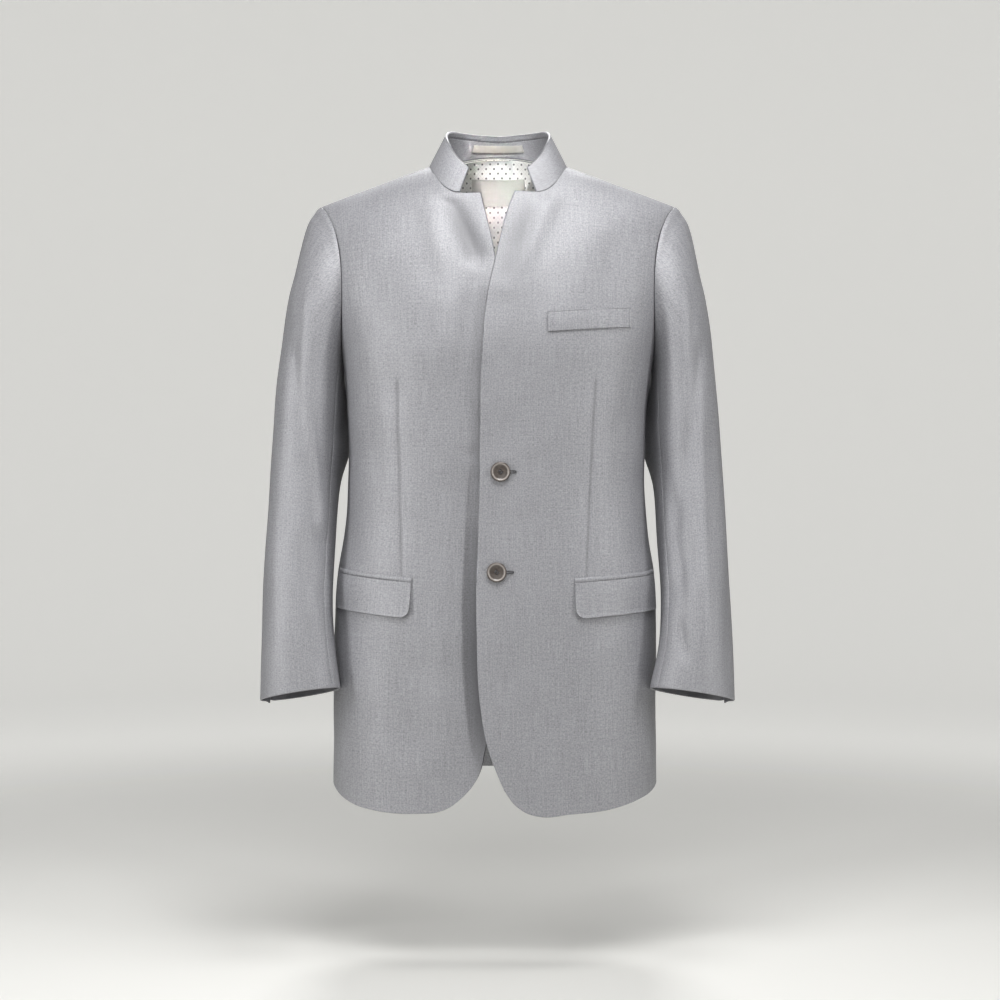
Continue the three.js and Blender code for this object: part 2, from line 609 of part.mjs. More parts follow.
// Angles round the neck where the collar shares its edge points with the panels
const neckSide = [
  ...steps(0, 90, neck.backSteps), ...steps(90, neck.endAngle, neck.frontSteps), neck.endAngle,
];
const neckTurns = [...neckSide.slice(1).reverse().map((turn) => -turn), ...neckSide];
function collarAt(turn, h) {
  return collarPoint(Math.min(Math.abs(turn), neck.endAngle), turn < 0 ? -1 : 1, h);
}
function collarNormal(turn, h) {
  const round = collarAt(turn + 1, h).sub(collarAt(turn - 1, h));
  const rise = collarAt(turn, h + 0.05).sub(collarAt(turn, h - 0.05));
  return rise.cross(round).normalize();
}
// A seated wall starts on the neck seam, so its lowest row is level. The ends low and high
// are distances from the seam and the top edge, or heights where the wall is level.
function collarWall(name, turns, rows, depth, wall, { low, high, seated, level }, colour) {
  const outer = [];
  const inner = [];
  for (let i = 0; i <= rows; i += 1) {
    outer.push([]);
    inner.push([]);
    for (const turn of turns) {
      const [foot, crown] = [collarAt(turn, 0), collarAt(turn, 1)];
      const span = crown.distanceTo(foot);
      const atHeight = (lerp(low, high, i / rows) - foot.z) / (crown.z - foot.z);
      const h = level ? atHeight : lerp(low / span, 1 - high / span, i / rows);
      const normal = collarNormal(turn, h);
      if (i === 0 && seated) normal.setZ(0).normalize();
      const point = collarAt(turn, h).addScaledVector(normal, -depth);
      outer[i].push(point);
      inner[i].push(point.clone().addScaledVector(normal, -wall));
    }
  }
  return wallMesh(name, outer, inner, colour);
}
function collarPieces() {
  const { rows, innerWall, layers } = collar;
  const second = cloth.wall + layers;
  const tabTurn = deg(Math.asin(tab.halfWidth / tab.ringX));
  const tabTurns = [...steps(-tabTurn, tabTurn, tab.steps), tabTurn];
  return [
    collarWall('collar_outer', neckTurns, rows, 0, cloth.wall,
      { low: collar.lift, high: 0, seated: true }, colours.cloth),
    collarWall('collar_inner', neckTurns, rows, second, innerWall,
      { low: collar.lift + cloth.seam, high: collar.innerDrop, seated: true }, colours.cloth),
    collarWall('hanger_tab', tabTurns, 1, second + innerWall + tab.clear, cloth.patch,
      { low: tab.low, high: tab.high, level: true }, colours.patch),
  ];
}

// Lining of the upper back, a lay's gap inside the back, from the neck seam down
const liningGrid = { rows: 8, cols: 16 };
function liningBack() {
  const place = (v, t) => {
    const across = 2 * t - 1;
    const sign = across < 0 ? -1 : 1;
    const part = Math.abs(across);
    const topX = lerp(0, liningPiece.halfWidth, part);
    const inNeck = topX < shoulder.neckX;
    const neckAngle = deg(Math.asin(Math.min(1, topX / shoulder.neckX)));
    const seamZ = inNeck ? neckSeam(neckAngle, 1).z : ridgeZ(topX, true);
    const topZ = seamZ - lerp(liningPiece.topDrop, liningPiece.sideDrop, smooth(topX, 55, 105));
    const topAngle = angleAt(Math.max(topX, 0.01), topZ, true);
    const lowAngle = lerp(180, liningPiece.outAngle, part);
    const lowZ = liningPiece.lowZ + liningPiece.bow * part ** 2;
    const rise = Math.sin(rad(90 * v));
    const angle = Math.min(179.99, lerp(lowAngle, topAngle, rise));
    return { angle: sign * angle, z: lerp(lowZ, topZ, rise), lift: -(cloth.wall + liningPiece.clear) };
  };
  return bodyWall('lining_back', liningGrid.rows, liningGrid.cols, place, cloth.lining, colours.lining);
}

// Flat piece laid on the body surface between two x values and two heights
function laidPatch(name, rows, cols, spot, wall, colour) {
  const place = (v, t) => {
    const { x, z, lift, back } = spot(v, t);
    return { angle: angleAt(x, z, back ?? false), z, lift };
  };
  return bodyWall(name, rows, cols, place, wall, colour);
}
function labelPatch() {
  const depth = cloth.wall + liningPiece.clear + cloth.lining + 3 * cloth.lay;
  const spot = (v, t) => ({
    x: lerp(label.x0, label.x1, t) + 1e-4,
    z: lerp(label.bottom, label.top, v),
    lift: -depth,
    back: true,
  });
  return laidPatch('label_patch', 3, 6, spot, cloth.patch, colours.patch);
}
function breastWelt() {
  const spot = (v, t) => {
    const x = lerp(welt.x0, welt.x1, t);
    const z = lerp(welt.z0, welt.z1, t) - welt.high * (1 - v);
    return { x, z, lift: frontLift(x, z, false) + cloth.lay + cloth.welt };
  };
  return laidPatch('breast_welt', 2, 9, spot, cloth.welt, colours.cloth);
}

// Pocket: a jet and the flap below it, from the front end round to the side
function pocketPieces(pocket) {
  const { side, sign, frontX, endAngle, frontZ, endZ } = pocket;
  const start = angleAt(frontX, frontZ);
  const angleOf = (t) => lerp(start, sign * endAngle, t);
  const topZ = (t) => lerp(frontZ, endZ, t);
  const lift = (angle, z) => frontLift(body(angle, z).x, z, sign < 0) + cloth.lay;
  const jet = bodyWall(`jet_${side}`, 1, 10, (v, t) => {
    const angle = angleOf(t);
    const z = topZ(t) - flap.jet * (1 - v);
    return { angle, z, lift: lift(angle, z) + cloth.jet };
  }, cloth.jet, colours.cloth);
  const cover = bodyWall(`flap_${side}`, 5, 12, (v, t) => {
    const radius = Math.abs(body(start, frontZ).x - body(sign * endAngle, endZ).x);
    const low = Math.max(0, 1 - (t * radius) / flap.cornerX);
    const cut = flap.cornerZ * (1 - Math.sqrt(Math.max(0, 1 - low ** 2)));
    const down = (flap.high - cut) * (1 - v);
    const angle = angleOf(t) + sign * flap.lean * (down / flap.high) * (1 - t);
    const z = topZ(t) - flap.jet - cloth.seam - down;
    const off = flap.standOff * (1 - v) ** 1.5 * (1 - 0.85 * t);
    return { angle, z, lift: lift(angle, z) + cloth.wall + off };
  }, cloth.wall, colours.cloth);
  return [jet, cover];
}

// Button: turned disc with a raised rim, a hollowed face and four holes for its thread
function makeButton({ name, x, z }) {
  const { radius, height, rim, hole, holeAt, sides } = button;
  const profile = [
    [0, 0], [radius - 1.6, 0], [radius, 1.4], [radius, height - 1.2], [radius - 1.1, height],
    [radius - rim, height - 0.3], [radius - rim - 1, height - 1.3], [4.4, height - 1.9],
    [0, height - 1.7],
  ].map(([r, y]) => new THREE.Vector2(r, y));
  const disc = solid(new THREE.LatheGeometry(profile, sides));
  const cuts = [0, 90, 180, 270].map((turn) => {
    const drill = new THREE.CylinderGeometry(hole, hole, height * 3, 8);
    drill.translate(holeAt * Math.cos(rad(turn + 45)), 0, holeAt * Math.sin(rad(turn + 45)));
    return solid(drill);
  });
  const cut = cuts.reduce((whole, drill) => whole.subtract(drill), disc);
  const { vertProperties, triVerts } = cut.getMesh();
  const geometry = new THREE.BufferGeometry();
  geometry.setAttribute('position', new THREE.BufferAttribute(vertProperties, 3));
  geometry.setIndex(new THREE.BufferAttribute(triVerts, 1));
  const mesh = finished(name, geometry, colours.button);
  const normal = bodyNormal(angleAt(x, z), z);
  const seat = body(angleAt(x, z), z);
  const lift = frontLift(x, z, false) + button.lay;
  mesh.quaternion.setFromUnitVectors(new THREE.Vector3(0, 1, 0), normal);
  mesh.position.copy(seat.addScaledVector(normal, lift));
  return mesh;
}
function solid(geometry) {
  geometry.deleteAttribute('normal');
  geometry.deleteAttribute('uv');
  const merged = mergeVertices(geometry, 1e-4);
  return new wasm.Manifold(new wasm.Mesh({
    numProp: 3,
    vertProperties: new Float32Array(merged.attributes.position.array),
    triVerts: new Uint32Array(merged.index.array),
  }));
}

const group = new THREE.Group();
group.name = 'blazer';
group.add(frontPanel('left', 1, overEdge, overHem, false));
group.add(frontPanel('right', -1, underEdge, underHem, true));
for (const [side, sign] of [['left', 1], ['right', -1]]) {
  group.add(sidePanel(side, sign));
  group.add(backPanel(side, sign));
  const frontStep = sleeveSeams.frontStep;
  const backStep = armholeJoin.frontSteps + armholeJoin.sideSteps + sleeveSeams.backStep;
  group.add(sleevePanel(`sleeve_${side}_top`, sign, backStep - armholeTurns.length, frontStep, 0));
  group.add(sleevePanel(`sleeve_${side}_under`, sign, frontStep, backStep, backStep - frontStep));
}
group.add(...collarPieces());
group.add(liningBack(), labelPatch(), breastWelt());
for (const pocket of pockets) group.add(...pocketPieces(pocket));
for (const spot of buttons) group.add(makeButton(spot));

export default group;
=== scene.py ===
# Grey blazer with a stand collar, filled out as worn. Lengths below are millimetres in the
# part's own frame: +Z up, the front faces -Y and the wearer's left is +X.
import bpy
import numpy as np
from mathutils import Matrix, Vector


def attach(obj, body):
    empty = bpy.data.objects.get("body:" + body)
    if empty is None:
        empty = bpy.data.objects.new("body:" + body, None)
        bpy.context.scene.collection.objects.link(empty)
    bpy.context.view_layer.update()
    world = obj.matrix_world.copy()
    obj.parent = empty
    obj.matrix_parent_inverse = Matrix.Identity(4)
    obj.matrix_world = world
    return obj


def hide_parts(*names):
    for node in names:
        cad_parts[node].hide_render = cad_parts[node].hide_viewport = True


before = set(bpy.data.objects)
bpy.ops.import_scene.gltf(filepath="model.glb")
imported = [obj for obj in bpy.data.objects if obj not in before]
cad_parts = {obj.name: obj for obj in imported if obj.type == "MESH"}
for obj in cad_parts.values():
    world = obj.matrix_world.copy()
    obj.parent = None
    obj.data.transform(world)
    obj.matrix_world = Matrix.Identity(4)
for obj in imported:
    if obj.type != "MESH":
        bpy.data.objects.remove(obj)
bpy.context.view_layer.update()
print("frame loaded")

mm = 0.001
cloth = {"wall": 2.0, "lining": 1.0, "patch": 0.8, "seam": 0.1, "lay": 0.3, "freeRoll": 1.0, "seamRoll": 0.45}
arcRadius = 165  # turns an angle round the body into a run of cloth


def table(columns, *rows):
    # rows of values under their columns' names
    return [dict(zip(columns.split(), row)) for row in rows]


# Small maths shared by every surface

def lerp(a, b, t):
    return a + (b - a) * t


def smooth(s, low, high):
    # smoothstep: 0 below low, 1 above high
    t = np.clip((s - low) / (high - low), 0, 1)
    return t * t * (3 - 2 * t)


def curveThrough(rows, at, value):
    # cubic Hermite pieces through a table's rows, with slopes from the neighbouring chords
    p = np.array([row[at] for row in rows], float)
    q = np.array([row[value] for row in rows], float)
    steps = np.diff(p)
    chord = np.diff(q) / steps
    slope = np.empty_like(q)
    slope[0], slope[-1] = chord[0], chord[-1]
    slope[1:-1] = (chord[:-1] * steps[1:] + chord[1:] * steps[:-1]) / (steps[:-1] + steps[1:])

    def curve(s):
        s = np.asarray(s, float)
        i = np.clip(np.searchsorted(p, s) - 1, 0, len(p) - 2)
        t = np.clip((s - p[i]) / steps[i], 0, 1)
        t2, t3 = t * t, t * t * t
        return ((2 * t3 - 3 * t2 + 1) * q[i] + (t3 - 2 * t2 + t) * steps[i] * slope[i]
                + (3 * t2 - 2 * t3) * q[i + 1] + (t3 - t2) * steps[i] * slope[i + 1])
    return curve


def bell(distance, reach):
    # 1 at distance 0, falling off as a bell curve
    return np.exp(-(distance / reach) ** 2)


def unit(v):
    return v / np.maximum(np.linalg.norm(v, axis=-1, keepdims=True), 1e-12)


def packed(count, marks, keep=()):
    # count + 1 values from 0 to 1, closer together near each mark (place, reach, strength);
    # the nearest value to each number in keep is moved onto it
    s = np.linspace(0, 1, 2001)
    density = np.ones_like(s)
    for place, reach, strength in marks:
        density += strength * bell(s - place, reach)
    total = np.concatenate([[0], np.cumsum((density[1:] + density[:-1]) / 2)])
    values = np.interp(np.linspace(0, total[-1], count + 1), total, s)
    for k in keep:
        values[1 + np.argmin(np.abs(values[1:-1] - k))] = k
    return values


def softNoise(a, b, seed, scale):
    # sum of eight long sine waves of random direction and phase, about -1 to 1
    rng = np.random.default_rng(seed)
    total = 0
    for _ in range(8):
        turn, phase, stretch = rng.uniform(0, np.pi), rng.uniform(0, 2 * np.pi), rng.uniform(0.7, 1.6)
        total = total + np.sin((a * np.cos(turn) + b * np.sin(turn)) * 2 * np.pi / (scale * stretch) + phase)
    return total / 4


def foldDepth(folds, a, b, keys):
    # each fold falls off as a bell curve from its line, which may bow to one side, and a
    # tapered one fades towards its ends
    total = np.zeros(np.broadcast(a, b).shape)
    for fold in folds:
        ax, ay, bx, by = (fold[key] for key in keys)
        length = np.hypot(bx - ax, by - ay)
        ux, uy = (bx - ax) / length, (by - ay) / length
        along = (a - ax) * ux + (b - ay) * uy
        t = np.clip(along / length, 0, 1)
        aside = (a - ax) * uy - (b - ay) * ux - fold.get("bow", 0) * np.sin(np.pi * t)
        away = np.hypot(aside, along - t * length)
        ends = lerp(1, np.sin(np.pi * np.clip(t, 0.02, 0.98)) ** 0.5, fold.get("taper", 0))
        total += fold["depth"] * ends * bell(away, fold["reach"])
    return total


# Body form: rings of a superellipse, narrowed in depth to the ridge over the shoulders

body = {
    "rings": table("z half front back shift",
        (-840, 210.0, 133, 116, -4.0), (-700, 209.5, 132, 114, -4.2), (-592, 209.0, 131, 111, -3.4),
        (-526, 205.5, 129, 107, -2.4), (-487, 198.5, 127, 104, -2.2), (-435, 193.5, 125, 103, -2.2),
        (-370, 193.0, 125, 106, -1.8), (-304, 195.5, 126, 111, -1.2), (-250, 202.5, 127, 115, 0),
        (-200, 211.0, 127, 117, 0), (-150, 222.0, 126, 118, 0), (-100, 233.0, 124, 117, 0),
        (-53, 240.0, 122, 114, 0), (40, 244.0, 121, 112, 0)),
    "power": 2.5, "neckX": 90, "tipX": 232, "slope": 0.373, "round": 24, "ridgeY": 3, "foldZ": -250,
    "frontPower": 1.6, "backPower": 3, "backLift": 34,
}
armhole = {"bottomZ": -262, "frontBow": 13.5, "backBow": 14.5, "bowPower": 1.3, "frontSide": 165,
           "sideBack": 214, "innerGap": 0.5}
panels = {"frontSide": 88, "sideBackLow": 126, "halfGap": 0.025, "hemSideZ": -800, "hemBackZ": -799}
neck = {"backZ": 23, "endZ": -43, "endAngle": 147}
frontShare = {"corner": 2 / 14, "neck": 7 / 14}  # where the collar ends and the shoulder starts
backShare = {"neck": 6 / 12}

half = curveThrough(body["rings"], "z", "half")
frontDepth = curveThrough(body["rings"], "z", "front")
backDepth = curveThrough(body["rings"], "z", "back")
shift = curveThrough(body["rings"], "z", "shift")


def ridgeZ(x, back):
    # height of the shoulder ridge above x; behind the neck the back reaches higher
    out = np.hypot(x, body["round"]) - np.hypot(body["neckX"], body["round"])
    rise = np.maximum(0, 1 - (x / body["neckX"]) ** 2)
    return -out * body["slope"] + np.where(back, body["backLift"] * rise, 0)


def archAt(x, z, back):
    # how much of the depth is left at height z: 1 up to the chest, 0 on the shoulder ridge
    w = np.clip((z - body["foldZ"]) / (ridgeZ(x, back) - body["foldZ"]), 0, 1)
    return np.sqrt(np.maximum(0, 1 - w ** np.where(back, body["backPower"], body["frontPower"])))


def bodyAt(angle, z):
    # angle from the front centre, positive to +X, and height
    turn, back = np.radians(angle), np.abs(angle) > 90
    s, c = np.abs(np.sin(turn)), np.abs(np.cos(turn))
    depth = np.where(back, backDepth(z), frontDepth(z))
    reach = ((s / half(z)) ** body["power"] + (c / depth) ** body["power"]) ** (-1 / body["power"])
    x = np.sign(angle) * reach * s
    y = reach * c * archAt(x, z, back) * np.where(back, 1, -1)
    return np.stack([x + shift(z), y + body["ridgeY"] * smooth(z, body["foldZ"], 0), z + 0 * x], -1)


def angleAt(x, z, back=False):
    # angle on the body at a given x and height
    across = x - shift(z)
    part = np.clip(np.abs(across) / half(z), 0, 1)
    depth = np.where(back, backDepth(z), frontDepth(z)) * (1 - part ** body["power"]) ** (1 / body["power"])
    angle = np.degrees(np.arctan2(np.abs(across), depth))
    return np.where(across < 0, -1, 1) * np.where(back, 180 - angle, angle)


def bodyNormal(angle, z):
    # outward direction, level across the shoulder seam on the ridge
    angle, z = np.broadcast_arrays(angle, z)
    back = np.abs(angle) > 90
    room = ridgeZ(bodyAt(angle, z)[..., 0], back) - z
    up = np.clip(room / 3, 0.001, 0.4)
    along = bodyAt(angle + 0.05, z) - bodyAt(angle - 0.05, z)
    rise = bodyAt(angle, z + up) - bodyAt(angle, z - up)
    ridge = np.stack([np.sign(angle) * body["slope"], 0 * angle, 1 + 0 * angle], -1)
    return unit(np.where((room < 0.05)[..., None], unit(ridge), np.cross(along, rise)))


def armholeAt(turn):
    # 0 at the shoulder tip, 90 in front, 180 under the arm, 270 behind: angle and height
    turn = np.mod(turn, 360)
    back = turn > 180
    tipZ = ridgeZ(body["tipX"], False)
    top = np.abs(angleAt(body["tipX"], tipZ, back))
    near = (1 + np.cos(np.radians(turn))) / 2
    bow = np.where(back, armhole["backBow"], armhole["frontBow"]) * np.abs(
        np.sin(np.radians(turn))) ** armhole["bowPower"]
    lean = np.abs(90 - top) * near + bow
    return np.where(back, 90 + lean, 90 - lean), lerp(armhole["bottomZ"], tipZ, near)


loopNormal = unit(np.array([0.99, 0, 0.14]))


# Sleeve form: tilted rings from the armhole to the cuff, for the +X side

sleeve = {
    "rings": table("outX outZ inX inZ midY deep tilt shift",
        (232, -53, 201.6, -262, 3, 62, 0, 0), (249, -76, 202.2, -274, 4, 68, 0, 0),
        (260, -118, 202.6, -290, 5, 73, 0, -0.5), (270, -172, 202.8, -310, 6, 76, 0, -1),
        (279, -232, 203.0, -336, 6, 76, 0, -1.5), (286, -300, 204.0, -370, 2, 74, 0, -2),
        (291, -374, 206.0, -416, -6, 71, 0, -2), (295, -456, 207.5, -478, -24, 66, 1, -2),
        (298, -548, 210.0, -552, -50, 58, 3, -2), (299.5, -632, 205.5, -624, -70, 50, 6, -1),
        (300, -689, 198, -673, -79, 46, 8, -1)),
    "frontSeam": 148.5, "backSeam": 214 + 2 * 146 / 9, "halfGap": 0.06, "cuffTwist": 80, "leftFlare": 5,
}
for number, row in enumerate(sleeve["rings"]):
    row["v"] = number / (len(sleeve["rings"]) - 1)
sleeveCurves = {key: curveThrough(sleeve["rings"], "v", key)
                for key in ("outX", "outZ", "inX", "inZ", "midY", "deep", "tilt", "shift")}


def sleeveRing(turn, v, sign):
    # tilted ellipse at v down the arm; the left cuff is let out on its inner side
    c = {key: f(v) for key, f in sleeveCurves.items()}
    if sign > 0:
        c["inX"] = c["inX"] - sleeve["leftFlare"] * smooth(v, 0.86, 1)
    cos, sin = np.cos(np.radians(turn)), np.sin(np.radians(turn))
    return np.stack([
        (c["outX"] + c["inX"]) / 2 + (c["outX"] - c["inX"]) / 2 * cos + sign * c["shift"],
        c["midY"] - c["deep"] * sin,
        (c["outZ"] + c["inZ"]) / 2 + (c["outZ"] - c["inZ"]) / 2 * cos + c["tilt"] * sin,
    ], -1)


def sleeveAt(turn, v, sign):
    # the rings, with their difference to the real armhole faded out down the arm
    turn, v = np.broadcast_arrays(np.asarray(turn, float), np.asarray(v, float))
    angle, z = armholeAt(turn)
    edge = bodyAt(sign * angle, z) * [sign, 1, 1] - sleeveRing(turn, 0 * v, sign)
    return sleeveRing(turn, v, sign) + edge * (1 - smooth(v, 0, 0.3))[..., None]


def sleeveNormal(turn, v, sign):
    # outward direction, from short steps around and down the sleeve
    low, high = np.maximum(0, v - 0.004), np.minimum(1, v + 0.004)
    around = sleeveAt(turn + 0.5, v, sign) - sleeveAt(turn - 0.5, v, sign)
    return unit(np.cross(around, sleeveAt(turn, high, sign) - sleeveAt(turn, low, sign)))


def armholeMitre(turn, own, sign):
    # shared direction of the two walls where body and sleeve meet over a convex seam
    angle, z = armholeAt(turn)
    bodyOut = bodyNormal(sign * angle, z) * [sign, 1, 1]
    sleeveOut = sleeveNormal(turn, 0 * turn, sign)
    onward = sleeveAt(turn, 0 * turn + 0.02, sign) - sleeveAt(turn, 0 * turn, sign)
    convex = (onward * bodyOut).sum(-1, keepdims=True) <= 0
    both = unit(bodyOut + sleeveOut)
    both = both / np.maximum(0.6, (both * bodyOut).sum(-1, keepdims=True))
    apart = armhole["innerGap"] / cloth["wall"] / 2
    both = both + loopNormal * (apart if own == "body" else -apart)
    return np.where(convex, both, bodyOut if own == "body" else sleeveOut)


def armholeEdge(turns, sign):
    # wall direction and half the seam's gap where a body panel ends on the armhole
    mirror = [sign, 1, 1]
    return armholeMitre(turns, "body", sign) * mirror, loopNormal * mirror * cloth["seam"] / 2


# Mesh making

def wallMesh(name, outer, inner, uv, rolls, marks=None, inside=0):
    # closed wall between two grids, with a half-round rim; rolls are the rim's in-plane
    # radii at the bottom row, top row, first column and last column; marks are painted
    # shade or a printed band on the outer face, and the inner face gets an even painted shade
    rows, cols = outer.shape[:2]
    out = np.zeros_like(outer)
    bottom, top, first, last = rolls
    out[0] += unit(outer[0] - outer[1]) * np.reshape(bottom, (-1, 1))
    out[-1] += unit(outer[-1] - outer[-2]) * np.reshape(top, (-1, 1))
    out[:, 0] += unit(outer[:, 0] - outer[:, 1]) * np.reshape(first, (-1, 1))
    out[:, -1] += unit(outer[:, -1] - outer[:, -2]) * np.reshape(last, (-1, 1))
    outer, inner = outer - out, inner - out
    index = np.arange(rows * cols).reshape(rows, cols)
    ring = np.concatenate([index[0, :-1], index[:-1, -1], index[-1, :0:-1], index[:0:-1, 0]])
    edgeOut, edgeIn, side = (g.reshape(-1, 3)[ring] for g in (outer, inner, out))
    mid, depth = (edgeOut + edgeIn) / 2, (edgeOut - edgeIn) / 2
    rimSteps = 4
    turns = np.pi * np.arange(1, rimSteps) / rimSteps
    rim = [mid + depth * np.cos(t) + side * np.sin(t) for t in turns]
    points = np.concatenate([outer.reshape(-1, 3), inner.reshape(-1, 3)] + rim) * mm
    n = rows * cols
    loops = [ring] + [2 * n + k * len(ring) + np.arange(len(ring)) for k in range(rimSteps - 1)] + [n + ring]
    a, b, c, d = index[:-1, :-1], index[:-1, 1:], index[1:, 1:], index[1:, :-1]
    quads = [np.stack([a, b, c, d], -1).reshape(-1, 4), np.stack([a, d, c, b], -1).reshape(-1, 4) + n]
    for near, far in zip(loops[:-1], loops[1:]):
        quads.append(np.stack([np.roll(near, -1), near, far, np.roll(far, -1)], -1))
    quads = np.concatenate(quads)
    flat = uv.reshape(-1, 2)
    uvAll = np.concatenate([flat, flat] + [flat[ring]] * (rimSteps - 1))
    tone = np.zeros(rows * cols) if marks is None else marks.reshape(-1)
    toneAll = np.concatenate([tone, 0 * tone + inside] + [tone[ring]] * (rimSteps - 1))
    return meshFrom(name, points, quads, uvAll, toneAll)


def meshFrom(name, points, quads, uv=None, tone=None):
    # puts whole arrays into a mesh, turned outwards if its volume comes out negative
    a, b, c, d = (points[quads[:, k]] for k in range(4))
    volume = (a * np.cross(b, c)).sum() + (a * np.cross(c, d)).sum()
    if volume < 0:
        quads = quads[:, ::-1]
    mesh = bpy.data.meshes.new(name)
    mesh.vertices.add(len(points))
    mesh.vertices.foreach_set("co", points.astype(np.float32).ravel())
    mesh.loops.add(quads.size)
    mesh.loops.foreach_set("vertex_index", quads.astype(np.int32).ravel())
    mesh.polygons.add(len(quads))
    mesh.polygons.foreach_set("loop_start", np.arange(0, quads.size, 4, dtype=np.int32))
    mesh.update(calc_edges=True)
    if uv is not None:
        layer = mesh.uv_layers.new(name="clothUV")
        layer.data.foreach_set("uv", uv[quads.ravel()].astype(np.float32).ravel())
    if tone is not None:
        # per point: painted shade or highlight, or a printed band
        mesh.attributes.new("paintedLightAndBand", "FLOAT", "POINT").data.foreach_set("value", tone.astype(np.float32))
    mesh.validate()
    mesh.shade_smooth()
    return addObject(name, mesh)


def addObject(name, data):
    obj = bpy.data.objects.new(name, data)
    bpy.context.scene.collection.objects.link(obj)
    return obj


def runLengths(grid):
    # distance along rows from the first column, and along columns from the first row
    across = np.linalg.norm(np.diff(grid, axis=1), axis=-1)
    up = np.linalg.norm(np.diff(grid, axis=0), axis=-1)
    return (np.pad(np.cumsum(across, 1), ((0, 0), (1, 0))), np.pad(np.cumsum(up, 0), ((1, 0), (0, 0))))


def gridUV(grid):
    # runs across and up the grid, in metres
    return np.stack(runLengths(grid), -1) * mm


def settle(obj, material):
    # every piece rides on the one body
    obj.data.materials.append(material)
    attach(obj, "root")


def makePiece(solid, outer, inner, uv, rolls, slot="suiting", marks=None, inside=0):
    # wall of cloth that stands for its solid, with that name in camelCase
    first, *others = solid.split("_")
    obj = wallMesh(first + "".join(word.title() for word in others), outer, inner, uv, rolls, marks, inside)
    settle(obj, materials[slot])
    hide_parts(solid)


# Materials

def groupWith(name, inputs, outputs):
    # node group with its named inputs and outputs
    tree = bpy.data.node_groups.new(name, "ShaderNodeTree")
    for label, kind, value in inputs:
        socket = tree.interface.new_socket(name=label, in_out="INPUT", socket_type=kind)
        if value is not None:
            socket.default_value = value
    for label, kind in outputs:
        tree.interface.new_socket(name=label, in_out="OUTPUT", socket_type=kind)
    return tree, tree.nodes.new("NodeGroupInput"), tree.nodes.new("NodeGroupOutput")


def feed(tree, socket, value):
    if isinstance(value, bpy.types.NodeSocket):
        tree.links.new(value, socket)
    else:
        socket.default_value = value


def node(tree, kind, inputs=None, **settings):
    made = tree.nodes.new(kind)
    for key, value in settings.items():
        setattr(made, key, value)
    for key, value in (inputs or {}).items():
        feed(tree, made.inputs[key], value)
    return made


def maths(tree, operation, *values):
    return node(tree, "ShaderNodeMath", dict(enumerate(values)), operation=operation).outputs[0]


def threadNoise(tree, vector, along, across, seed):
    # noise drawn out along one thread direction
    place = node(tree, "ShaderNodeMapping", {"Vector": vector, "Scale": (across, along, 1),
                                             "Location": (seed, seed * 0.7, 0)})
    noise = node(tree, "ShaderNodeTexNoise", {"Vector": place.outputs[0], "Scale": 1.0, "Detail": 2.0,
                                              "Roughness": 0.55})
    return noise.outputs["Fac"]


def weaveGroup():
    # fine two-tone weave: slubs along warp and weft, mottling, and the thread relief
    tree, source, result = groupWith("fineWeave", [
        ("Vector", "NodeSocketVector", None), ("Slub", "NodeSocketFloat", 0.5),
        ("Mottle", "NodeSocketFloat", 0.3), ("Pitch", "NodeSocketFloat", 0.0009)],
        [("Tone", "NodeSocketFloat"), ("Height", "NodeSocketFloat")])
    vector, slub, mottle, pitch = source.outputs[:4]
    warp = threadNoise(tree, vector, 22, 700, 3)
    weft = threadNoise(tree, vector, 700, 30, 11)
    fineWarp = threadNoise(tree, vector, 300, 900, 5)
    fineWeft = threadNoise(tree, vector, 900, 300, 7)
    cloud = threadNoise(tree, vector, 14, 22, 8)
    threads = maths(tree, "ADD", 0, 0)
    for noise, weight in ((warp, 0.5), (weft, 0.35), (fineWarp, 0.9), (fineWeft, 0.9)):
        part = maths(tree, "MULTIPLY", maths(tree, "SUBTRACT", noise, 0.5), weight)
        threads = maths(tree, "ADD", threads, part)
    clouds = maths(tree, "MULTIPLY", maths(tree, "SUBTRACT", cloud, 0.5), mottle)
    tone = maths(tree, "ADD", maths(tree, "ADD", maths(tree, "MULTIPLY", threads, slub), clouds), 0.5)
    tree.links.new(tone, result.inputs["Tone"])
    parts = node(tree, "ShaderNodeSeparateXYZ", {"Vector": vector})
    waves = []
    for part in (parts.outputs[0], parts.outputs[1]):
        phase = maths(tree, "MULTIPLY", maths(tree, "DIVIDE", part, pitch), 2 * np.pi)
        waves.append(maths(tree, "SINE", phase))
    relief = maths(tree, "MULTIPLY", maths(tree, "MULTIPLY", *waves), 0.25)
    height = maths(tree, "ADD", relief, maths(tree, "MULTIPLY", threads, 0.6))
    tree.links.new(height, result.inputs["Height"])
    return tree


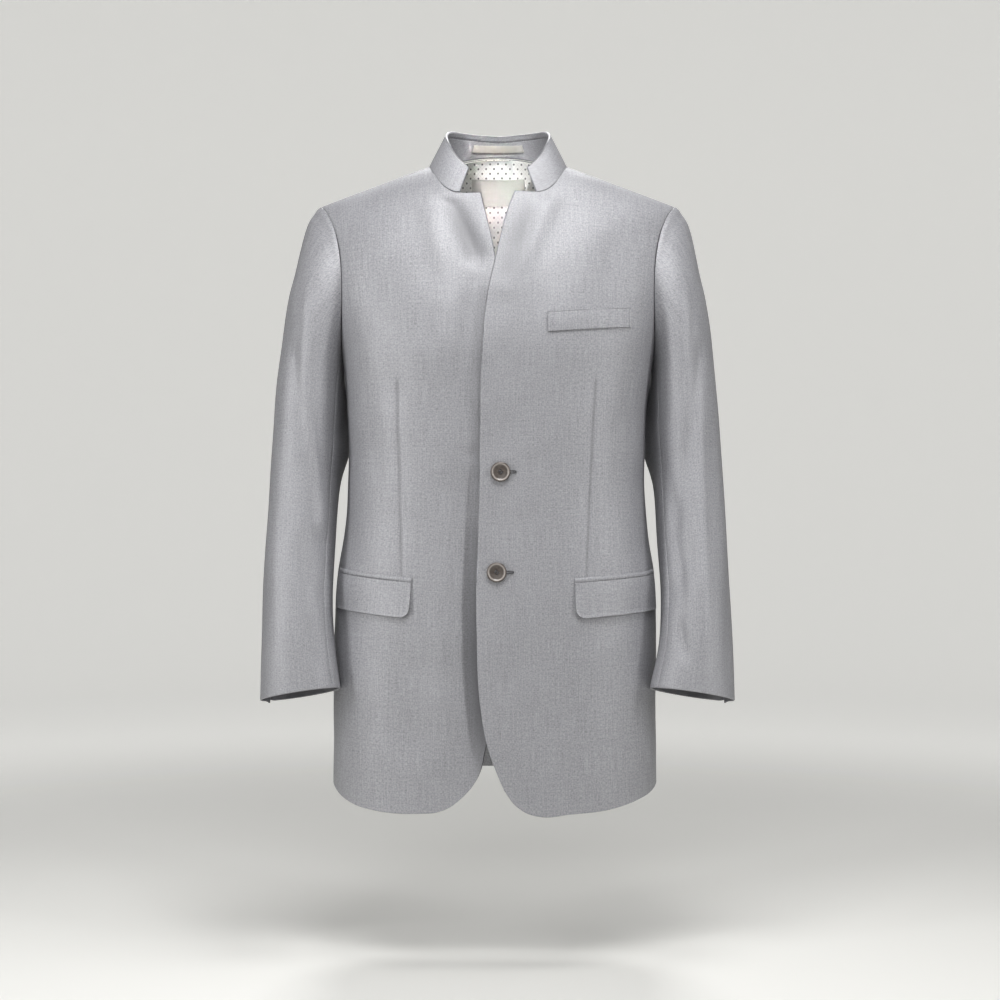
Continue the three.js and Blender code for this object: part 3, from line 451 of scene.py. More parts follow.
def latticeGroup():
    # staggered small dots with a fine diamond lattice between them
    tree, source, result = groupWith("dotLattice", [
        ("Vector", "NodeSocketVector", None), ("Pitch", "NodeSocketFloat", 0.0108),
        ("Dot", "NodeSocketFloat", 0.20), ("Line", "NodeSocketFloat", 0.035)],
        [("Dots", "NodeSocketFloat"), ("Lines", "NodeSocketFloat")])
    vector, pitch, dotSize, lineSize = source.outputs[:4]
    parts = node(tree, "ShaderNodeSeparateXYZ", {"Vector": vector})
    u = maths(tree, "DIVIDE", parts.outputs[0], pitch)
    v = maths(tree, "DIVIDE", parts.outputs[1], maths(tree, "MULTIPLY", pitch, 1.25))
    a, b = maths(tree, "ADD", u, v), maths(tree, "SUBTRACT", u, v)

    def toWhole(value):
        # distance to the nearest whole number
        part = maths(tree, "FRACT", maths(tree, "ADD", value, 0.5))
        return maths(tree, "ABSOLUTE", maths(tree, "SUBTRACT", part, 0.5))

    def stepDown(value, start, end):
        # 0 at start and beyond it, 1 at end
        inputs = {"Value": value, "From Min": start, "From Max": end}
        return node(tree, "ShaderNodeMapRange", inputs, interpolation_type="SMOOTHSTEP").outputs[0]

    squares = [maths(tree, "MULTIPLY", part, part) for part in (toWhole(a), toWhole(b))]
    far = maths(tree, "SQRT", maths(tree, "ADD", *squares))
    near = maths(tree, "MINIMUM", *[toWhole(maths(tree, "ADD", value, 0.5)) for value in (a, b)])
    dots = stepDown(far, dotSize, maths(tree, "MULTIPLY", dotSize, 0.6))
    tree.links.new(dots, result.inputs["Dots"])
    tree.links.new(stepDown(near, lineSize, 0.0), result.inputs["Lines"])
    return tree


def blendColours(tree, factor, low, high):
    mix = node(tree, "ShaderNodeMix", data_type="RGBA")
    for key, value in ((0, factor), (6, low), (7, high)):
        feed(tree, mix.inputs[key], value)
    return mix.outputs[2]


def newMaterial(name, **settings):
    material = bpy.data.materials.new(name)
    material.use_nodes = True
    shader = material.node_tree.nodes["Principled BSDF"]
    for key, value in settings.items():
        shader.inputs[key].default_value = value
    return material, material.node_tree, shader


def grey(r, g, b):
    return (r, g, b, 1)


def clothPlace(tree):
    return node(tree, "ShaderNodeUVMap", uv_map="clothUV").outputs[0]


def objectPlace(tree):
    return node(tree, "ShaderNodeTexCoord").outputs["Object"]


def paintedLightAndBandMark(tree):
    # painted shade, painted highlight or a printed band, stored on each mesh's points
    return node(tree, "ShaderNodeAttribute", attribute_name="paintedLightAndBand").outputs["Fac"]


def noiseAt(tree, place, scale, detail, **inputs):
    inputs = {"Vector": place, "Scale": scale, "Detail": detail, **inputs}
    return node(tree, "ShaderNodeTexNoise", inputs).outputs["Fac"]


def bumpInto(tree, shader, height, distance, strength):
    bump = node(tree, "ShaderNodeBump", {"Height": height, "Distance": distance, "Strength": strength})
    tree.links.new(bump.outputs[0], shader.inputs["Normal"])


# fold is the colour of painted shade in hollows, along darts and inside the sleeves
suitingLook = {"dark": grey(0.155, 0.155, 0.168), "light": grey(0.43, 0.43, 0.455),
               "fold": grey(0.12, 0.12, 0.13), "roughness": 0.46, "slub": 1.15, "mottle": 0.1}


def suitingMaterial(weave):
    # two greys mixed by the weave's tone, with painted shade (the fold grey) where the mesh is marked
    look = suitingLook
    material, tree, shader = newMaterial("suitingWeave", **{
        "Roughness": look["roughness"], "Specular IOR Level": 0.9, "Metallic": 0.12})
    threads = node(tree, "ShaderNodeGroup", {"Vector": clothPlace(tree), "Slub": look["slub"],
                                             "Mottle": look["mottle"]}, node_tree=weave)
    colour = blendColours(tree, threads.outputs["Tone"], look["dark"], look["light"])
    colour = blendColours(tree, paintedLightAndBandMark(tree), colour, look["fold"])
    tree.links.new(colour, shader.inputs["Base Color"])
    bumpInto(tree, shader, threads.outputs["Height"], 0.00025, 0.5)
    return material


liningLook = {"dark": grey(0.84, 0.83, 0.79), "light": grey(0.93, 0.92, 0.89), "dot": grey(0.05, 0.05, 0.06),
              "line": grey(0.42, 0.41, 0.40), "dots": 0.9, "lines": 0.55, "slub": 0.25}


def liningMaterial(weave, lattice):
    # pale weave with the lattice's lines, then its dots
    look = liningLook
    material, tree, shader = newMaterial("dottedLining", **{
        "Roughness": 0.38, "Sheen Weight": 0.15, "Specular IOR Level": 0.5})
    place = clothPlace(tree)
    pattern = node(tree, "ShaderNodeGroup", {"Vector": place}, node_tree=lattice)
    threads = node(tree, "ShaderNodeGroup", {"Vector": place, "Slub": look["slub"]}, node_tree=weave)
    colour = blendColours(tree, threads.outputs["Tone"], look["dark"], look["light"])
    for output, share, tint in (("Lines", look["lines"], look["line"]), ("Dots", look["dots"], look["dot"])):
        colour = blendColours(tree, maths(tree, "MULTIPLY", pattern.outputs[output], share), colour, tint)
    tree.links.new(colour, shader.inputs["Base Color"])
    bumpInto(tree, shader, threads.outputs["Height"], 0.0001, 0.4)
    return material


patchLook = {
    "dark": grey(0.40, 0.39, 0.36), "light": grey(0.55, 0.535, 0.50), "band": grey(0.17, 0.17, 0.175),
    "slub": 0.35,
}


def patchMaterial(weave):
    # woven patch, with a plain dark band where the mesh is marked
    look = patchLook
    material, tree, shader = newMaterial("wovenPatch", **{"Roughness": 0.6, "Specular IOR Level": 0.3})
    values = {"Vector": objectPlace(tree), "Slub": look["slub"]}
    threads = node(tree, "ShaderNodeGroup", values, node_tree=weave)
    colour = blendColours(tree, threads.outputs["Tone"], look["dark"], look["light"])
    colour = blendColours(tree, paintedLightAndBandMark(tree), colour, look["band"])
    tree.links.new(colour, shader.inputs["Base Color"])
    bumpInto(tree, shader, threads.outputs["Height"], 0.00012, 0.4)
    return material


# rim is the colour of a painted highlight on the button's raised rim
buttonLook = {"dark": grey(0.035, 0.028, 0.025), "light": grey(0.13, 0.108, 0.095),
              "rim": grey(0.36, 0.325, 0.30)}


def buttonMaterial():
    # moulded horn look: slow swirls, with a painted highlight on a ring near the raised rim
    look = buttonLook
    material, tree, shader = newMaterial("hornButton", **{
        "Roughness": 0.28, "Coat Weight": 0.25, "Specular IOR Level": 0.5})
    place = objectPlace(tree)
    swirl = noiseAt(tree, place, 190.0, 5.0, Roughness=0.6, Distortion=1.4)
    colour = blendColours(tree, swirl, look["dark"], look["light"])
    colour = blendColours(tree, paintedLightAndBandMark(tree), colour, look["rim"])
    tree.links.new(colour, shader.inputs["Base Color"])
    bumpInto(tree, shader, noiseAt(tree, place, 1600.0, 3.0), 0.00005, 0.3)
    return material


threadLook = {"dark": grey(0.035, 0.035, 0.04), "light": grey(0.12, 0.12, 0.13)}


def threadMaterial():
    # two dark greys mixed by a fine twist
    look = threadLook
    material, tree, shader = newMaterial("sewingThread", **{"Roughness": 0.7, "Sheen Weight": 0.3})
    twist = noiseAt(tree, objectPlace(tree), 2200.0, 2.0)
    tree.links.new(blendColours(tree, twist, look["dark"], look["light"]), shader.inputs["Base Color"])
    bumpInto(tree, shader, twist, 0.0001, 0.6)
    return material


weave, lattice = weaveGroup(), latticeGroup()
materials = {"suiting": suitingMaterial(weave), "lining": liningMaterial(weave, lattice),
             "patch": patchMaterial(weave), "button": buttonMaterial()}
threadFinish = threadMaterial()
print("materials made")


# Fronts

fronts = {
    "left": {
        "sign": 1, "under": False,
        "edge": table("z x",
            (-795, 8), (-777, 0), (-738, -13.6), (-690, -22), (-600, -26.5), (-400, -23.5), (-250, -20.5),
            (-180, -14), (-129, -3), (-64, 13), (-42, 21)),
        "hem": table("x z",
            (8, -795), (17, -808), (31, -820), (52, -827), (90, -825), (143, -821), (178, -813),
            (197, -806), (206, -800)),
        "folds": table(
            "x0 z0 x1 z1 reach depth",
            (66, -52, 12, -170, 16, 2.6), (150, -120, 128, -190, 20, -1.6)),
        "creases": table("x0 z0 x1 z1 bow reach depth taper",
            (50, -56, 28, -125, 0, 9, -2.0, 1), (40, -150, 2, -240, 0, 16, 1.4, 1),
            (-6, -545, 4, -770, 6, 20, 2.4, 1), (10, -470, 62, -446, 0, 12, -0.8, 1),
            (14, -404, 70, -380, 0, 9, -0.5, 1), (168, -240, 150, -430, 0, 15, -1.2, 1),
            (118, -600, 128, -812, 0, 26, 1.6, 1), (62, -580, 74, -800, 0, 22, -1.0, 1)),
        # shade lines are painted shade in the cloth's colour
        "shade": table("x0 z0 x1 z1 reach depth taper", (40, -54, 10, -165, 17, 0.6, 1)),
        "dart": {"x0": 122, "z0": -285, "x1": 110, "z1": -531},
    },
    "right": {
        "sign": -1, "under": True,
        "edge": table("z x",
            (-793, -34), (-781, -26), (-738, -13.6), (-690, 0), (-620, 12), (-520, 20), (-400, 18),
            (-250, 8), (-129, -3), (-42, -22)),
        "hem": table("x z",
            (-214, -800), (-206, -807), (-184, -818), (-156, -823), (-98, -824), (-77, -822), (-61, -816),
            (-45, -804), (-34, -793)),
        "folds": table("x0 z0 x1 z1 bow reach depth taper",
            (-64, -48, -27, -126, 0, 14, -4.8, 0), (-34, -165, -33, -372, 5, 13, -4.0, 0.8),
            (-29, -385, -27, -775, 8, 18, -8.0, 0.8), (-150, -170, -128, -300, 0, 20, -1.6, 0)),
        "creases": table("x0 z0 x1 z1 bow reach depth taper",
            (-92, -60, -66, -150, 0, 13, 1.8, 1), (-62, -520, -58, -760, 8, 16, 2.6, 1),
            (-14, -420, -10, -790, 6, 18, -7.5, 1), (-18, -160, -18, -430, 0, 12, -3.0, 1),
            (-170, -250, -150, -420, 0, 14, -1.2, 1), (-110, -600, -100, -805, 0, 26, -1.4, 1),
            (-150, -590, -152, -800, 0, 22, 1.2, 1)),
        # shade lines are painted shade in the cloth's colour
        "shade": table("x0 z0 x1 z1 bow reach depth taper",
            (-14, -180, -14, -470, 0, 16, 0.5, 1), (-13, -450, -13, -800, 6, 18, 1.0, 1),
            (-60, -50, -24, -135, 0, 13, 0.85, 1)),
        "dart": {"x0": -127, "z0": -285, "x1": -120, "z1": -530},
    },
    "closing": {"drop": 3.4, "startX": -74, "endX": -30, "fadeLow": -60, "fadeHigh": -44},
    "wave": 0.55, "dartDepth": 0.8, "dartHollow": 1.1, "dartShade": 0.4,
}
foldKeys = ("x0", "z0", "x1", "z1")


def neckSeam(turn, sign):
    # 0 at the back, 90 at the side, endAngle at the collar's end: x and height
    past = np.maximum(0, turn - 90) / (neck["endAngle"] - 90)
    z = np.where(turn <= 90, neck["backZ"] * np.cos(np.radians(turn)) ** 2,
                 neck["endZ"] * np.sin(np.radians(90 * past)) ** 2)
    return sign * body["neckX"] * np.sin(np.radians(turn)), z


def neckFade(z):
    # 1 below the neck, 0 at the neck seam
    return 1 - smooth(z, fronts["closing"]["fadeLow"], fronts["closing"]["fadeHigh"])


def frontLift(x, z, under):
    # how far the front stands off the body form: folds, less the under front's drop
    closing = fronts["closing"]
    drop = closing["drop"] * smooth(x, closing["startX"], closing["endX"]) if under else 0
    return foldDepth(fronts["right" if under else "left"]["folds"], x, z, foldKeys) * neckFade(z) - drop


def seamValley(distance, depth=0.5, reach=2.5):
    # the cloth dips by a bell curve along a seam
    return -depth * bell(distance, reach)


def dartLine(dart, x, z, reach, taper=0):
    # 1 on the dart's line, falling off over its reach
    return foldDepth([dict(dart, reach=reach, depth=1.0, taper=taper)], x, z, foldKeys)


def sideSeamAngle(z):
    # the seam between front and side body leans from the hem to the armhole
    jointAngle, jointZ = armholeAt(armhole["frontSide"])
    return lerp(panels["frontSide"], jointAngle, smooth(z, panels["hemSideZ"], jointZ))


def clothUV(angle, up, z0):
    # across as arc from the centre line, up as run along the cloth, in metres
    return np.stack([np.radians(angle) * arcRadius, up + z0], -1) * mm


def frontSpots(front, tCols, vLow, vHigh):
    # Coons patches in angle and height: hem to armhole level, then on to neck and shoulder
    sign = front["sign"]
    edgeX = curveThrough(front["edge"], "z", "x")
    hemZ = curveThrough(front["hem"], "x", "z")
    corner = front["hem"][0] if sign > 0 else front["hem"][-1]
    topX, topZ = front["edge"][-1]["x"], front["edge"][-1]["z"]
    jointZ = armholeAt(armhole["frontSide"])[1]

    def sideAngle(z):
        return sign * (sideSeamAngle(z) - panels["halfGap"])

    t, v = tCols[None, :], vLow[:, None]
    cornerAngle = angleAt(corner["x"], corner["z"])
    hemAngle = lerp(cornerAngle, sideAngle(panels["hemSideZ"]), t)
    hemHeight = hemZ(bodyAt(hemAngle, panels["hemSideZ"] + 0 * hemAngle)[..., 0])
    hemHeight[:, -1] = panels["hemSideZ"]
    z0, z1 = lerp(corner["z"], jointZ, v), lerp(panels["hemSideZ"], jointZ, v)
    lowAngle = lerp(angleAt(edgeX(z0), z0), sideAngle(z1), t)
    lowZ = lerp(z0, z1, t) + (1 - v) * (hemHeight - lerp(corner["z"], panels["hemSideZ"], t))
    v = vHigh[1:, None]
    rise = np.sin(np.radians(90 * v))
    loopAngle, loopZ = armholeAt(armhole["frontSide"] * (1 - v))
    zEdge = lerp(jointZ, topZ, rise)
    tc, tn = frontShare["corner"], frontShare["neck"]
    endX, endZ = neckSeam(np.array(float(neck["endAngle"])), sign)
    turn = lerp(neck["endAngle"], 90, np.clip((t - tc) / (tn - tc), 0, 1))
    neckX, neckZ = neckSeam(turn, sign)
    outX = sign * lerp(body["neckX"], body["tipX"], np.clip((t - tn) / (1 - tn), 0, 1))
    rowX = np.where(t < tc, lerp(topX, endX, t / tc), np.where(t < tn, neckX, outX))
    rowZ = np.where(t < tc, lerp(topZ, endZ, t / tc), np.where(t < tn, neckZ, ridgeZ(outX, False)))
    rowAngle = angleAt(rowX, rowZ)
    highAngle = lerp(angleAt(edgeX(zEdge), zEdge), sign * loopAngle, t) + rise * (
        rowAngle - lerp(rowAngle[:, :1], rowAngle[:, -1:], t))
    highZ = lerp(zEdge, loopZ, t) + rise * (rowZ - lerp(rowZ[:, :1], rowZ[:, -1:], t))
    highAngle[-1], highZ[-1] = rowAngle[0], rowZ[0]
    return np.concatenate([lowAngle, highAngle]), np.concatenate([lowZ, highZ])


def bodyPanel(angle, z, lift, wall, moves=None, inward=None):
    # outer and inner grid: the body form, lifted along its normal, and a wall's depth inside
    normal = bodyNormal(angle, z)
    base = bodyAt(angle, z) + normal * np.asarray(lift)[..., None]
    if moves is not None:
        base = base + moves
    return base, base - (normal if inward is None else inward) * wall


def makeFront(side):
    # lift is folds, creases, a slow wave, the dart and the dips along the seams
    front = fronts[side]
    sign = front["sign"]
    tCols = packed(128, [(0, 0.03, 1.6), (1, 0.03, 1.6), (0.57, 0.05, 1.6)],
                   [frontShare["corner"], frontShare["neck"]])
    vLow = packed(140, [(0, 0.02, 2)])
    vHigh = packed(64, [(1, 0.03, 1.5)])
    angle, z = frontSpots(front, tCols, vLow, vHigh)
    low = len(vLow) - 1
    base = bodyAt(angle, z)
    across, up = runLengths(base)
    x = base[..., 0]
    toSide, toTop = across[:, -1:] - across, up[-1:] - up
    mark = dartLine(front["dart"], x, z, 1.5)
    lift = frontLift(x, z, front["under"])
    lift += foldDepth(front["creases"], x, z, foldKeys) * neckFade(z)
    lift += fronts["wave"] * softNoise(x, z, 21 if sign > 0 else 22, 95) * smooth(toTop, 0, 30)
    lift -= fronts["dartDepth"] * mark + fronts["dartHollow"] * dartLine(front["dart"], x, z, 9, 1)
    lift += seamValley(toSide)
    onShoulder = np.clip((tCols - frontShare["corner"]) * 40, 0, 1)[None, :]
    lift += seamValley(toTop, 0.4) * onShoulder
    moves, inward = np.zeros_like(base), bodyNormal(angle, z)
    inward[low:, -1], gap = armholeEdge(armhole["frontSide"] * (1 - vHigh), sign)
    moves[low:, -1] -= gap
    moves[-1, tCols > frontShare["neck"], 1] -= cloth["seam"] / 2
    outer, inner = bodyPanel(angle, z, lift, cloth["wall"], moves, inward)
    topRoll = np.where(tCols < frontShare["corner"], cloth["freeRoll"], cloth["seamRoll"])
    rolls = (cloth["freeRoll"], topRoll, cloth["freeRoll"], cloth["seamRoll"])
    # painted shade: darker along the dart line and in the hollows listed under shade
    marks = np.clip(fronts["dartShade"] * mark + foldDepth(front["shade"], x, z, foldKeys), 0, 1)
    makePiece("front_" + side, outer, inner, clothUV(angle, up, z[0:1]), rolls, marks=marks)


def hemAround(angle):
    # hem height from the side seam to the centre back
    return lerp(panels["hemSideZ"], panels["hemBackZ"], (np.abs(angle) - panels["frontSide"]) / 92)


def sideBackAngle(z):
    # the seam between side body and back leans from the hem to the armhole
    jointAngle, jointZ = armholeAt(armhole["sideBack"])
    return lerp(panels["sideBackLow"], jointAngle, smooth(z, panels["hemSideZ"], jointZ))


# Side bodies and backs

sidesAndBack = {
    "folds": table("x0 z0 x1 z1 reach depth taper",
        (-118, -330, -70, -150, 17, -1.8, 1), (112, -320, 74, -170, 15, -1.5, 1),
        (-60, -430, 50, -452, 15, -1.6, 1), (96, -470, 20, -500, 13, -1.2, 1),
        (-110, -560, -96, -770, 24, 1.7, 1), (88, -590, 98, -780, 26, 1.4, 1),
        (-40, -30, 45, -34, 9, -0.9, 1)),
    "sideWave": 0.5, "backWave": 0.55,
}


def makeSide(side, sign):
    # one panel from hem to armhole, between the two leaning seams
    tCols, rows = packed(34, [(0, 0.05, 0.8), (1, 0.05, 0.8)]), packed(150, [(0, 0.02, 2), (1, 0.02, 1)])
    t, v = tCols[None, :], rows[:, None]
    turns = lerp(armhole["frontSide"], armhole["sideBack"], tCols)
    topAngle, topZ = armholeAt(turns)
    zMid = lerp(panels["hemSideZ"], topZ[None, :], v)
    gap = panels["halfGap"]
    angle = lerp(sideSeamAngle(zMid) + gap, sideBackAngle(zMid) - gap, t)
    z = lerp(hemAround(angle), topZ[None, :], v)
    angle[-1] = topAngle - (tCols - 0.5) * 2 * gap
    angle = sign * angle
    base = bodyAt(angle, z)
    across, up = runLengths(base)
    toTop = up[-1:] - up
    lift = seamValley(across) + seamValley(across[:, -1:] - across)
    wave = softNoise(np.radians(angle) * arcRadius, z, 31, 90)
    lift += sidesAndBack["sideWave"] * wave * smooth(toTop, 4, 30)
    moves, inward = np.zeros_like(base), bodyNormal(angle, z)
    inward[-1], opening = armholeEdge(turns, sign)
    moves[-1] -= opening
    outer, inner = bodyPanel(angle, z, lift, cloth["wall"], moves, inward)
    rolls = (cloth["freeRoll"], cloth["seamRoll"], cloth["seamRoll"], cloth["seamRoll"])
    makePiece("side_" + side, outer, inner, clothUV(angle, up, z[0:1]), rolls)


def makeBack(side, sign):
    # Coons patches as on the fronts: hem to armhole level, then on to shoulder and neck
    tCols = packed(88, [(0, 0.03, 1.2), (1, 0.03, 1.2)], [1 - backShare["neck"]])
    vLow, vHigh = packed(130, [(0, 0.02, 2)]), packed(66, [(1, 0.03, 1.5)])
    jointZ = armholeAt(armhole["sideBack"])[1]
    centre = 180 - panels["halfGap"]
    t, v = tCols[None, :], vLow[:, None]
    zRow = lerp(panels["hemSideZ"], jointZ, v)
    lowAngle = lerp(sideBackAngle(zRow) + panels["halfGap"], centre, t)
    lowZ = lerp(hemAround(lowAngle), jointZ, v)
    v = vHigh[1:, None]
    rise = np.sin(np.radians(90 * v))
    loopAngle, loopZ = armholeAt(np.minimum(lerp(armhole["sideBack"], 360, v), 359.999))
    ts = 1 - backShare["neck"]
    outX = lerp(body["tipX"], body["neckX"], np.clip(t / ts, 0, 1))
    neckX, neckZ = neckSeam(lerp(90, 0, np.clip((t - ts) / (1 - ts), 0, 1)), 1)
    rowX = np.where(t < ts, outX, neckX)
    rowZ = np.where(t < ts, ridgeZ(outX, True), neckZ)
    rowAngle = np.minimum(centre, angleAt(rowX, rowZ, True))
    highAngle = lerp(loopAngle, centre, t) + rise * (rowAngle - lerp(rowAngle[:, :1], rowAngle[:, -1:], t))
    highZ = lerp(loopZ, lerp(jointZ, rowZ[:, -1:], rise), t)
    highZ = highZ + rise * (rowZ - lerp(rowZ[:, :1], rowZ[:, -1:], t))
    highAngle[-1], highZ[-1] = rowAngle[0], rowZ[0]
    angle, z = sign * np.concatenate([lowAngle, highAngle]), np.concatenate([lowZ, highZ])
    low = len(vLow) - 1
    base = bodyAt(angle, z)
    across, up = runLengths(base)
    toCentre, toTop = across[:, -1:] - across, up[-1:] - up
    x = base[..., 0]
    lift = foldDepth(sidesAndBack["folds"], x, z, foldKeys) * smooth(toTop, 0, 25)
    lift += sidesAndBack["backWave"] * softNoise(x, z, 41, 100) * smooth(toTop, 0, 30)
    lift += seamValley(toCentre) + seamValley(across) + seamValley(toTop, 0.4)
    moves, inward = np.zeros_like(base), bodyNormal(angle, z)
    inward[low:, 0], opening = armholeEdge(lerp(armhole["sideBack"], 360, vHigh), sign)
    moves[low:, 0] -= opening
    moves[-1, tCols <= ts, 1] += cloth["seam"] / 2
    inward[:, -1, 0] = 0
    outer, inner = bodyPanel(angle, z, lift, cloth["wall"], moves, inward)
    rolls = (cloth["freeRoll"], cloth["seamRoll"], cloth["seamRoll"], cloth["seamRoll"])
    makePiece("back_" + side, outer, inner, clothUV(angle, up, z[0:1]), rolls)


for side in ("left", "right"):
    makeFront(side)
print("fronts made")
for side, sign in (("left", 1), ("right", -1)):
    makeSide(side, sign)
    makeBack(side, sign)
print("sides and back made")


# Sleeves

sleeves = {
    "folds": table("a0 v0 a1 v1 reach depth",
        (62, 0.40, 118, 0.66, 13, -3.2), (20, 0.30, 35, 0.72, 16, 2.4), (100, 0.74, 140, 0.80, 10, -2.6),
        (225, 0.62, 300, 0.68, 11, -3.0), (212, 0.22, 214, 0.50, 26, 16)),
    "creases": {
        "left": table("a0 v0 a1 v1 bow reach depth taper",
            (74, 0.50, 84, 0.92, 3, 12, 3.4, 1), (130, 0.85, 106, 0.93, 0, 7, -3.8, 1),
            (136, 0.58, 116, 0.88, 0, 12, -3.2, 1), (48, 0.20, 84, 0.42, 0, 11, -1.5, 1),
            (30, 0.80, 44, 0.97, 0, 12, -1.2, 1), (250, 0.30, 320, 0.42, 0, 12, -2.4, 1)),
        "right": table("a0 v0 a1 v1 bow reach depth taper",
            (92, 0.44, 136, 0.70, 0, 8, 3.0, 1), (116, 0.71, 150, 0.72, 0, 6, -3.2, 1),
            (104, 0.74, 136, 0.97, 0, 14, -3.0, 1), (50, 0.38, 58, 0.84, -3, 13, 1.8, 1),
            (40, 0.18, 70, 0.36, 0, 11, -1.4, 1), (240, 0.26, 310, 0.36, 0, 12, -2.2, 1)),
    },
    "vent": {"drop": 2.6, "lift": 1.2, "reach": 5.0},
    "unroll": 300, "rope": 1.1, "ease": 0.22, "wave": 0.6, "inside": 0.8,
}


def makeSleevePart(side, sign, part):
    # lift is folds, a slow wave, seam dips, the roped sleeve head and the ripples of its ease
    onTop = part == "top"
    start, end, count = (sleeve["backSeam"] - 360, sleeve["frontSeam"], 104) if onTop else (
        sleeve["frontSeam"], sleeve["backSeam"], 52)
    tCols = packed(count, [(0, 0.03, 0.8), (1, 0.03, 0.8)])
    rows = packed(150, [(0, 0.04, 1.5), (1, 0.02, 2)])
    turn = lerp(start + sleeve["halfGap"], end - sleeve["halfGap"], tCols)[None, :]
    v = rows[:, None] + 0 * turn
    nearBack = 1 - tCols if onTop else tCols
    turn = turn + sleeve["cuffTwist"] * smooth(v, 0.05, 1) * nearBack
    base = sleeveAt(turn, v, sign)
    across, up = runLengths(base)
    around = np.mod(turn, 360)
    keys = ("a0", "v0", "a1", "v1")
    unroll = sleeves["unroll"]
    scaled = [dict(f, v0=f["v0"] * unroll, v1=f["v1"] * unroll)
              for f in sleeves["folds"] + sleeves["creases"][side]]
    fade = smooth(v, 0.1, 0.3) * (1 - smooth(v, 0.9, 1))
    lift = foldDepth(scaled, around, v * unroll, keys) + foldDepth(scaled, around - 360, v * unroll, keys)
    lift = lift * fade
    lift += sleeves["wave"] * softNoise(turn * 1.1, v * 650, 51 + sign, 110) * smooth(v, 0.03, 0.12)
    lift += seamValley(across, 0.45) + seamValley(across[:, -1:] - across, 0.45)
    cos = np.cos(np.radians(turn))
    lift += sleeves["rope"] * np.clip(cos, 0, 1) * bell(up - 6, 5)
    ripple = np.sin(np.radians(turn) * 31) * np.exp(-up / 9) * np.clip(cos + 0.3, 0, 1)
    lift += sleeves["ease"] * ripple
    normal = sleeveNormal(turn, v, sign)
    inward = normal.copy()
    inward[0] = armholeMitre(around[0], "sleeve", sign)
    outer = base + normal * lift[..., None]
    outer[0] = outer[0] - normal[0] * lift[0][:, None] + loopNormal * cloth["seam"] / 2
    inner = outer - inward * cloth["wall"]
    mirror = np.array([sign, 1, 1])
    outer, inner = outer * mirror, inner * mirror
    vent = sleeves["vent"]
    fromBack = across if onTop else across[:, -1:] - across
    slide = (-vent["drop"] if onTop else vent["lift"]) * bell(fromBack, vent["reach"]) * smooth(v, 0.98, 1)
    outer[..., 2] += slide
    inner[..., 2] += slide
    uv = np.stack([np.radians(turn) * 55, outer[0:1, :, 2] - up], -1) * mm
    rolls = (cloth["seamRoll"], cloth["freeRoll"], cloth["seamRoll"], cloth["seamRoll"])
    # the sleeve's inner face is darkened: painted shade
    makePiece(f"sleeve_{side}_{part}", outer, inner, uv, rolls,
              inside=sleeves["inside"])


for side, sign in (("left", 1), ("right", -1)):
    for part in ("top", "under"):
        makeSleevePart(side, sign, part)
print("sleeves made")


# Collar

collar = {
    "top": table("angle z",
        (0, 52.8), (44, 54), (68, 52.4), (80, 48.5), (90, 43), (108, 31.5), (128, 10), (147, -8.5)),
    "topX": 68, "topBack": 62, "topFront": 64, "topY": 4, "innerDrop": 9.5, "lift": 0.5,
    "innerWall": 1.6, "layers": 0.5,
}
tab = {"halfWidth": 35.6, "ringX": 79.7, "low": 29.3, "high": 39.3, "clear": 0.9}
collarTopZ = curveThrough(collar["top"], "angle", "z")


def collarAt(turn, h):
    # from the neck seam at h 0 to the top edge at h 1, in straight lines
    turn, h = np.broadcast_arrays(np.asarray(turn, float), np.asarray(h, float))
    sign, angle = np.where(turn < 0, -1, 1), np.minimum(np.abs(turn), neck["endAngle"])
    x, z = neckSeam(angle, sign)
    low = bodyAt(angleAt(x, z, angle < 90), z)
    low[..., 1] = np.where(np.abs(angle - 90) < 0.01, body["ridgeY"], low[..., 1])
    depth = np.where(angle < 90, collar["topBack"], collar["topFront"])
    high = np.stack([sign * collar["topX"] * np.sin(np.radians(angle)),
                     collar["topY"] + depth * np.cos(np.radians(angle)), collarTopZ(angle)], -1)
    return lerp(low, high, h[..., None])


def collarNormal(turn, h):
    # outward direction, from short steps around and up the collar
    around = collarAt(turn + 1, h) - collarAt(turn - 1, h)
    return unit(np.cross(collarAt(turn, h + 0.05) - collarAt(turn, h - 0.05), around))


def collarGrid(turns, heights, depth, wall, low, high, bow=0.0, level=False):
    # low and high are distances from the seam and the top edge, or heights where it is level
    foot, crown = collarAt(turns, 0 * turns), collarAt(turns, 1 + 0 * turns)
    span, rise = np.linalg.norm(crown - foot, axis=-1), crown[:, 2] - foot[:, 2]
    if level:
        h = (lerp(low, high, heights[:, None]) - foot[:, 2]) / rise
    else:
        h = lerp(low / span, 1 - high / span, heights[:, None])
    turn = turns[None, :] + 0 * h
    normal = collarNormal(turn, h)
    lift = bow * np.sin(np.pi * heights)[:, None] - depth
    outer = collarAt(turn, h) + normal * lift[..., None]
    return outer, outer - normal * wall, normal


